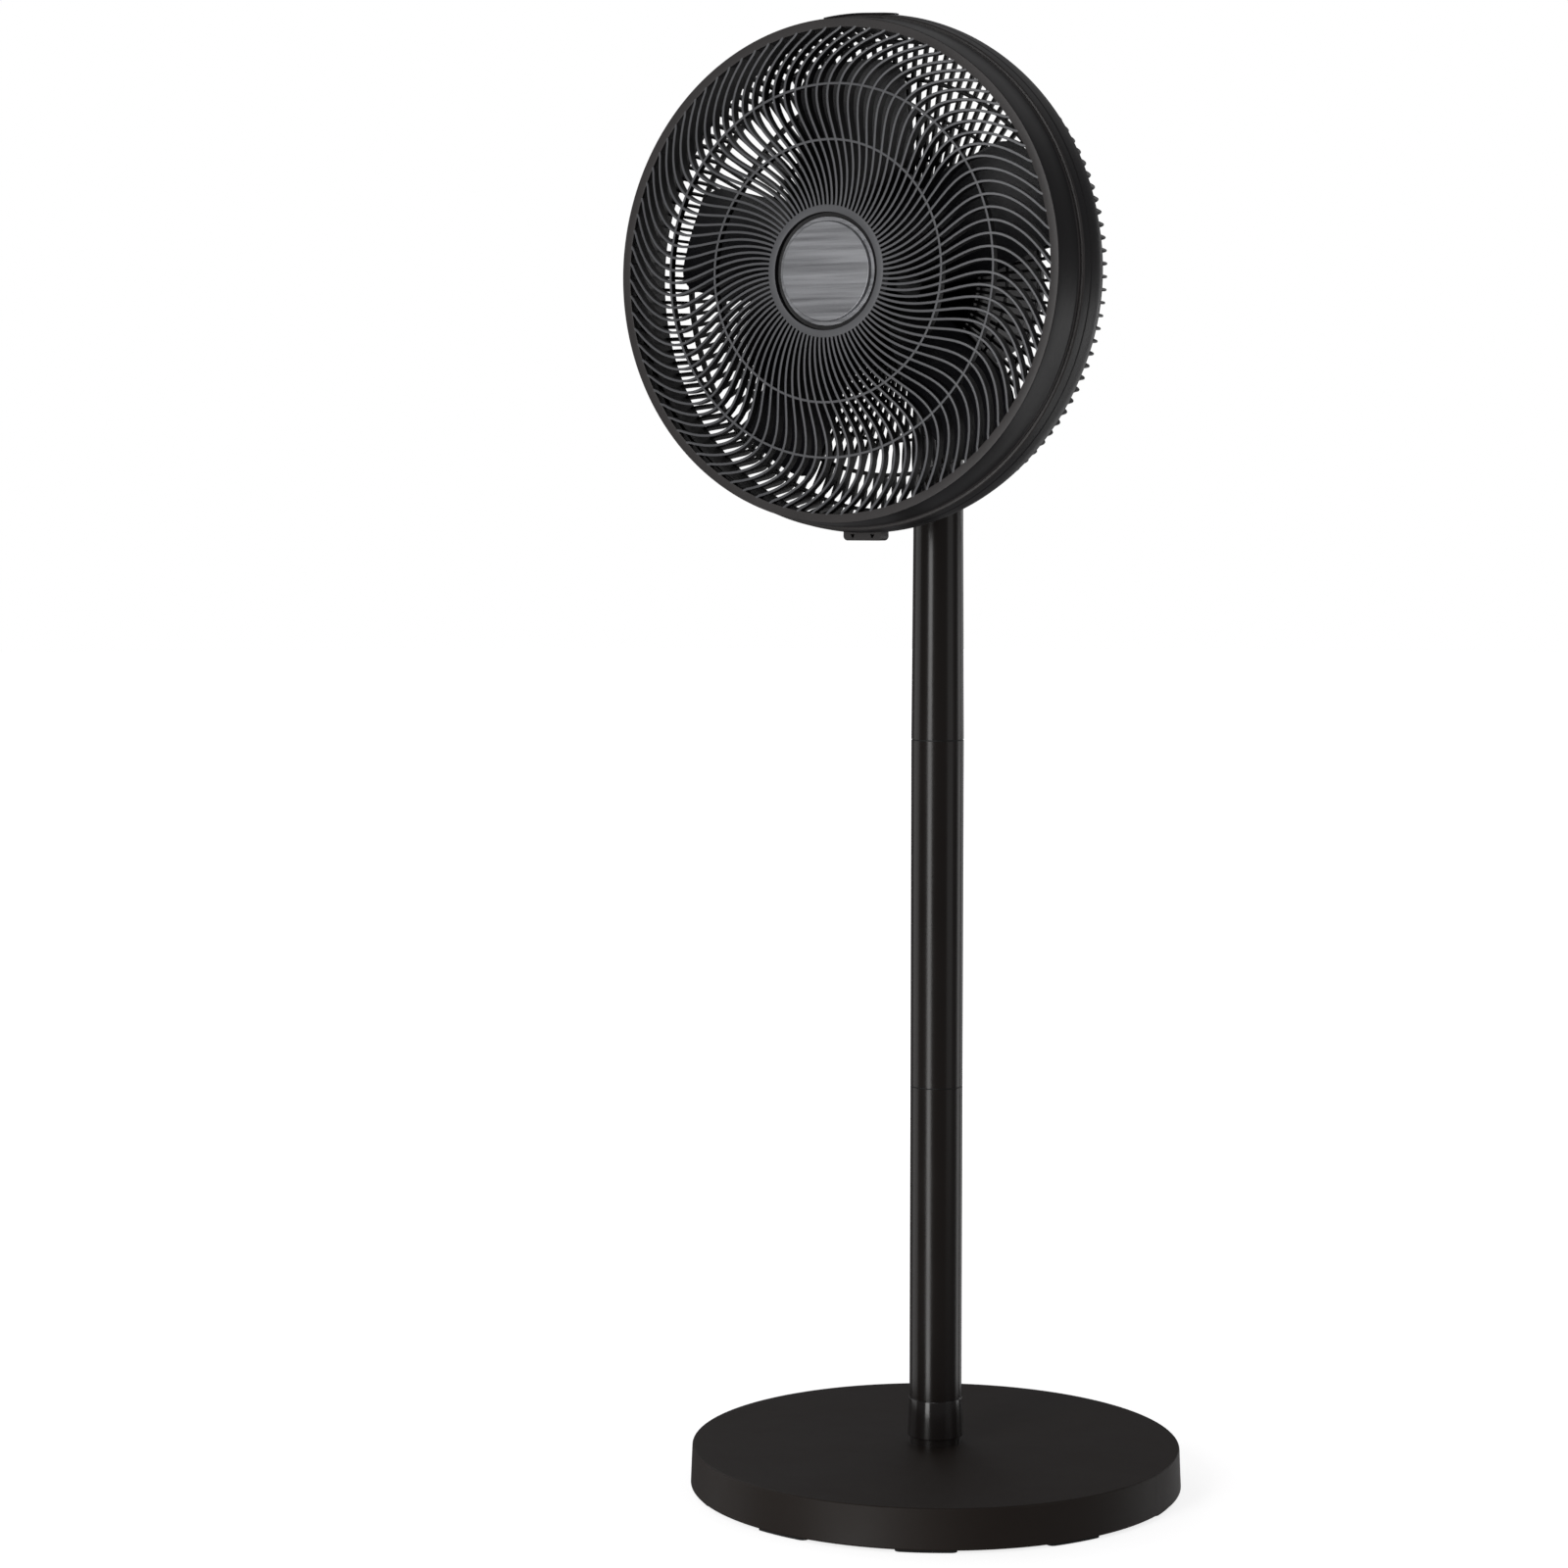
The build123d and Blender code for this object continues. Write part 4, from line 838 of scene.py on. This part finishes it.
def make_bottom_clip():
    """The CAD clip with its upper face moved in to the rounded rim, so no light shows between."""
    node = frame["nodes"]["bottom_clip"]
    sunk = RIM_RADIUS - 0.8 * MM
    points = []
    for vertex in node.data.vertices:
        place = node.matrix_world @ vertex.co
        radius = math.hypot(place.x, place.z - HEAD_HEIGHT)
        if radius < RIM_RADIUS + 0.5 * MM:
            place.x *= sunk / radius
            place.z = HEAD_HEIGHT + (place.z - HEAD_HEIGHT) * sunk / radius
        points.append(place)
    faces = [tuple(face.vertices) for face in node.data.polygons]
    # The whole clip is drawn in the lighter grey copy of the grille's black: a painted highlight.
    clip = add_piece("bottom_clip_tab", points, faces, "head", "grille_black", [PAINTED_HIGHLIGHT_GREY])
    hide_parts("bottom_clip")


# ---- Fan ----
def blade_shape(radius):
    """Chord and pitch of a blade at a radius, smooth through the four sections."""
    chord = np.polyfit(BLADE_SECTIONS, BLADE_CHORDS, 3)
    pitch = np.polyfit(BLADE_SECTIONS, BLADE_PITCHES, 3)
    return np.polyval(chord, radius), np.polyval(pitch, radius)


def blade_sheet(across, lift):
    """Rows of points over a blade, from root to tip, for places across the chord.
    lift moves the sheet along its normal."""
    shares = np.linspace(0, 1, BLADE_STATIONS)
    corner = BLADE_CORNER * np.abs(2 * across) ** 7
    tips = BLADE_TIP - 0.05 * MM - corner
    root = BLADE_HUB - 1.2 * MM
    radius = root + shares[:, None] * (tips - root)[None, :]
    chord, pitch = blade_shape(radius)
    camber = BLADE_CAMBER * chord * (1 - (2 * across[None, :]) ** 2)
    sideways = across * chord * np.cos(pitch) + camber * np.sin(pitch)
    forward = BLADE_MIDDLE + across * chord * np.sin(pitch) - camber * np.cos(pitch)
    forward += 0.35 * BLADE_CAMBER * chord
    angle = np.arctan2(sideways, radius)
    points = on_head(radius, angle, forward)
    down = np.gradient(points, axis=0)
    over = np.gradient(points, axis=1)
    normal = np.cross(down, over)
    normal /= np.linalg.norm(normal, axis=2)[..., None]
    return points + normal * lift


def make_blades():
    """Thin cambered blades with rounded corners, none past the tip's circle."""
    across = 0.5 * np.sin(np.linspace(-np.pi / 2, np.pi / 2, CHORD_STATIONS))
    bulge = np.sqrt(np.clip(1 - (2 * across) ** 2, 0, 1))
    lift = BLADE_THICK / 2 * (BLADE_EDGE + (1 - BLADE_EDGE) * bulge)[None, :, None]
    upper, lower = blade_sheet(across, lift), blade_sheet(across, -lift)
    rows = np.concatenate([upper, lower[:, ::-1]], axis=1)
    points, faces = skinned(rows)
    radius = np.hypot(points[:, 0], points[:, 2] - HEAD_HEIGHT)
    scale = np.minimum(1.0, BLADE_TIP / radius)
    points[:, 0] *= scale
    points[:, 2] = HEAD_HEIGHT + (points[:, 2] - HEAD_HEIGHT) * scale
    points, faces = repeated(points, faces, BLADE_COUNT, BLADE_START)
    return add_piece("blades", points, faces, "fan", "blade_black", smooth=50.0)


def make_blade_hub():
    """Rounded hub cup with a recess for the spinner nut."""
    inside = BLADE_HUB - BLADE_HUB_WALL
    outline = eased(
        [
            # the boss on the shaft
            (SHAFT_RADIUS, BLADE_HUB_BACK + 6.0 * MM, 0),
            (10.0 * MM, BLADE_HUB_BACK + 6.0 * MM, 0.5 * MM),
            (10.0 * MM, BLADE_HUB_FRONT - 8.0 * MM, 0),
            # the cup, open to the back
            (inside, BLADE_HUB_FRONT - 8.0 * MM, 3.0 * MM),
            (inside, BLADE_HUB_BACK, 0.5 * MM),
            (BLADE_HUB, BLADE_HUB_BACK, 0.5 * MM),
            (BLADE_HUB, BLADE_HUB_FRONT, 7.0 * MM),
            # the nut's recess
            (16.0 * MM, BLADE_HUB_FRONT, 1.2 * MM),
            (16.0 * MM, BLADE_HUB_FRONT - 5.0 * MM, 0.8 * MM),
            (SHAFT_RADIUS, BLADE_HUB_FRONT - 5.0 * MM, 0),
        ],
        6,
    )
    points, faces = turned(outline, BLADE_HUB_STEPS)
    return add_piece("blade_hub", points, faces, "fan", "blade_black")


def make_fan():
    for piece in (make_blades(), make_blade_hub()):
        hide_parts("fan_blade")


# ---- Signs on the buttons ----
def stroke(path, width):
    """A flat stroke along a path of (right, up) points, as pairs of edge points."""
    path = np.array(path, float)
    along = np.gradient(path, axis=0)
    along /= np.linalg.norm(along, axis=1)[:, None]
    side = np.stack([-along[:, 1], along[:, 0]], -1) * width / 2
    return path + side, path - side


def arc(radius, start, end, count=20):
    """Points on an arc, in degrees from the right, counter-clockwise."""
    angles = np.radians(np.linspace(start, end, count))
    return np.stack([radius * np.cos(angles), radius * np.sin(angles)], -1)


def icon_strokes():
    """Generic signs: each button's strokes, in its own plane as seen from behind."""
    clock = [
        arc(2.6 * MM, 0, 360, 33),
        [(0, 1.6 * MM), (0, 0)],
        [(0, 0), (1.2 * MM, 0)],
    ]
    arrows = [
        arc(2.7 * MM, 205, 335),
        [(-3.3 * MM, 0.1 * MM), (-2.45 * MM, -1.15 * MM), (-1.3 * MM, -0.5 * MM)],
        [(3.3 * MM, 0.1 * MM), (2.45 * MM, -1.15 * MM), (1.3 * MM, -0.5 * MM)],
        [(0, 2.2 * MM), (0, -0.6 * MM)],
    ]
    level = [(-2.2 * MM, 0), (2.2 * MM, 0)]
    upright = [(0, -2.2 * MM), (0, 2.2 * MM)]
    return {
        "power_button": [arc(2.4 * MM, 125, 415, 29), [(0, 3.0 * MM), (0, 0.6 * MM)]],
        "faster_button": [level, upright],
        "slower_button": [level],
        "timer_button": clock,
        "swing_button": arrows,
    }


def make_icons():
    """Printed signs, each half sunk into its button's face and half proud of it."""
    for node, strokes in icon_strokes().items():
        low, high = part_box(node)
        middle = (low + high) / 2
        sunk, proud = high.y - ICON_PROUD, high.y + ICON_PROUD
        parts = []
        for path in strokes:
            rows = []
            for left, right in zip(*stroke(path, ICON_WIDTH)):
                corners = [(left, sunk), (right, sunk), (right, proud), (left, proud)]
                rows.append([(middle.x - x, depth, middle.z + z) for (x, z), depth in corners])
            parts.append(skinned(np.array(rows)))
        points, faces = joined(*parts)
        name = node.replace("_button", "_icon")
        add_piece(name, points, faces, node + "_body", "button_black", [PRINT_WHITE])


# ---- Studio ----
def camera_side(offset, distance, height):
    """A place round the fan; offset is in degrees from the camera, positive to its right."""
    angle = CAMERA_AZIMUTH + math.radians(offset)
    return distance * math.sin(angle), -distance * math.cos(angle), height


def add_light(name, offset, distance, height, size, radiance, aim):
    """A soft box of a given radiance, turned to a point on the pole's axis at the aim's height."""
    data = bpy.data.lights.new(name, "AREA")
    data.shape = "RECTANGLE"
    data.size, data.size_y = size
    data.energy = radiance * math.pi * data.size * data.size_y
    light = bpy.data.objects.new(name, data)
    light.location = camera_side(offset, distance, height)
    back = light.location.copy()
    back.z -= aim
    light.rotation_euler = back.to_track_quat("Z", "Y").to_euler()
    light.visible_camera = False
    bpy.context.scene.collection.objects.link(light)


def make_lights():
    for name, values in LIGHTS.items():
        add_light(name, **values)


def make_world():
    """White where the camera sees it, and dim as a source of light."""
    world = bpy.data.worlds.new("studio")
    world.use_nodes = True
    tree = world.node_tree
    dim = tree.nodes["Background"]
    dim.inputs["Color"].default_value = WORLD_LIGHT
    white = tree.nodes.new("ShaderNodeBackground")
    white.inputs["Color"].default_value = (1, 1, 1, 1)
    path = tree.nodes.new("ShaderNodeLightPath")
    mix = tree.nodes.new("ShaderNodeMixShader")
    tree.links.new(path.outputs["Is Camera Ray"], mix.inputs["Fac"])
    tree.links.new(dim.outputs["Background"], mix.inputs[1])
    tree.links.new(white.outputs["Background"], mix.inputs[2])
    tree.links.new(mix.outputs["Shader"], tree.nodes["World Output"].inputs["Surface"])
    bpy.context.scene.world = world


def make_floor():
    """Plain pale floor, a disc that glows to white far from the fan."""
    material, tree, shader = new_material("floor")
    shader.inputs["Base Color"].default_value = (0.86, 0.86, 0.86, 1)
    shader.inputs["Roughness"].default_value = 0.9
    shader.inputs["Specular IOR Level"].default_value = 0.1
    shader.inputs["Emission Color"].default_value = (1, 1, 1, 1)
    place = tree.nodes.new("ShaderNodeTexCoord")
    length = tree.nodes.new("ShaderNodeVectorMath")
    length.operation = "LENGTH"
    fade = tree.nodes.new("ShaderNodeMapRange")
    fade.inputs["From Min"].default_value = FLOOR_FADE[0]
    fade.inputs["From Max"].default_value = FLOOR_FADE[1]
    fade.inputs["To Min"].default_value = FLOOR_GLOW[0]
    fade.inputs["To Max"].default_value = FLOOR_GLOW[1]
    tree.links.new(place.outputs["Object"], length.inputs[0])
    tree.links.new(length.outputs["Value"], fade.inputs["Value"])
    tree.links.new(fade.outputs["Result"], shader.inputs["Emission Strength"])
    mesh = bpy.data.meshes.new("floor")
    ring = []
    for index in range(FLOOR_SIDES):
        angle = 2 * math.pi * index / FLOOR_SIDES
        ring.append((FLOOR_RADIUS * math.cos(angle), FLOOR_RADIUS * math.sin(angle), 0))
    mesh.from_pydata(ring, [], [tuple(range(FLOOR_SIDES))])
    mesh.materials.append(material)
    floor = bpy.data.objects.new("floor", mesh)
    floor.location.z = -0.2 * MM
    floor.visible_glossy = False
    floor.visible_diffuse = False
    floor.visible_shadow = False
    bpy.context.scene.collection.objects.link(floor)


def make_camera():
    data = bpy.data.cameras.new("camera")
    data.lens = CAMERA_LENS
    data.sensor_width = 36.0
    data.clip_end = 60.0
    camera = bpy.data.objects.new("camera", data)
    camera.location = camera_side(0, CAMERA_DISTANCE, CAMERA_HEIGHT)
    camera.rotation_euler = (math.pi / 2 - CAMERA_PITCH, 0, CAMERA_AZIMUTH + CAMERA_YAW)
    bpy.context.scene.collection.objects.link(camera)
    bpy.context.scene.camera = camera


make_camera()
dress_cad_nodes()
make_front_grille()
make_rear_grille()
make_bottom_clip()
make_fan()
make_icons()
make_lights()
make_world()
make_floor()
bpy.context.scene.view_settings.view_transform = "Standard"
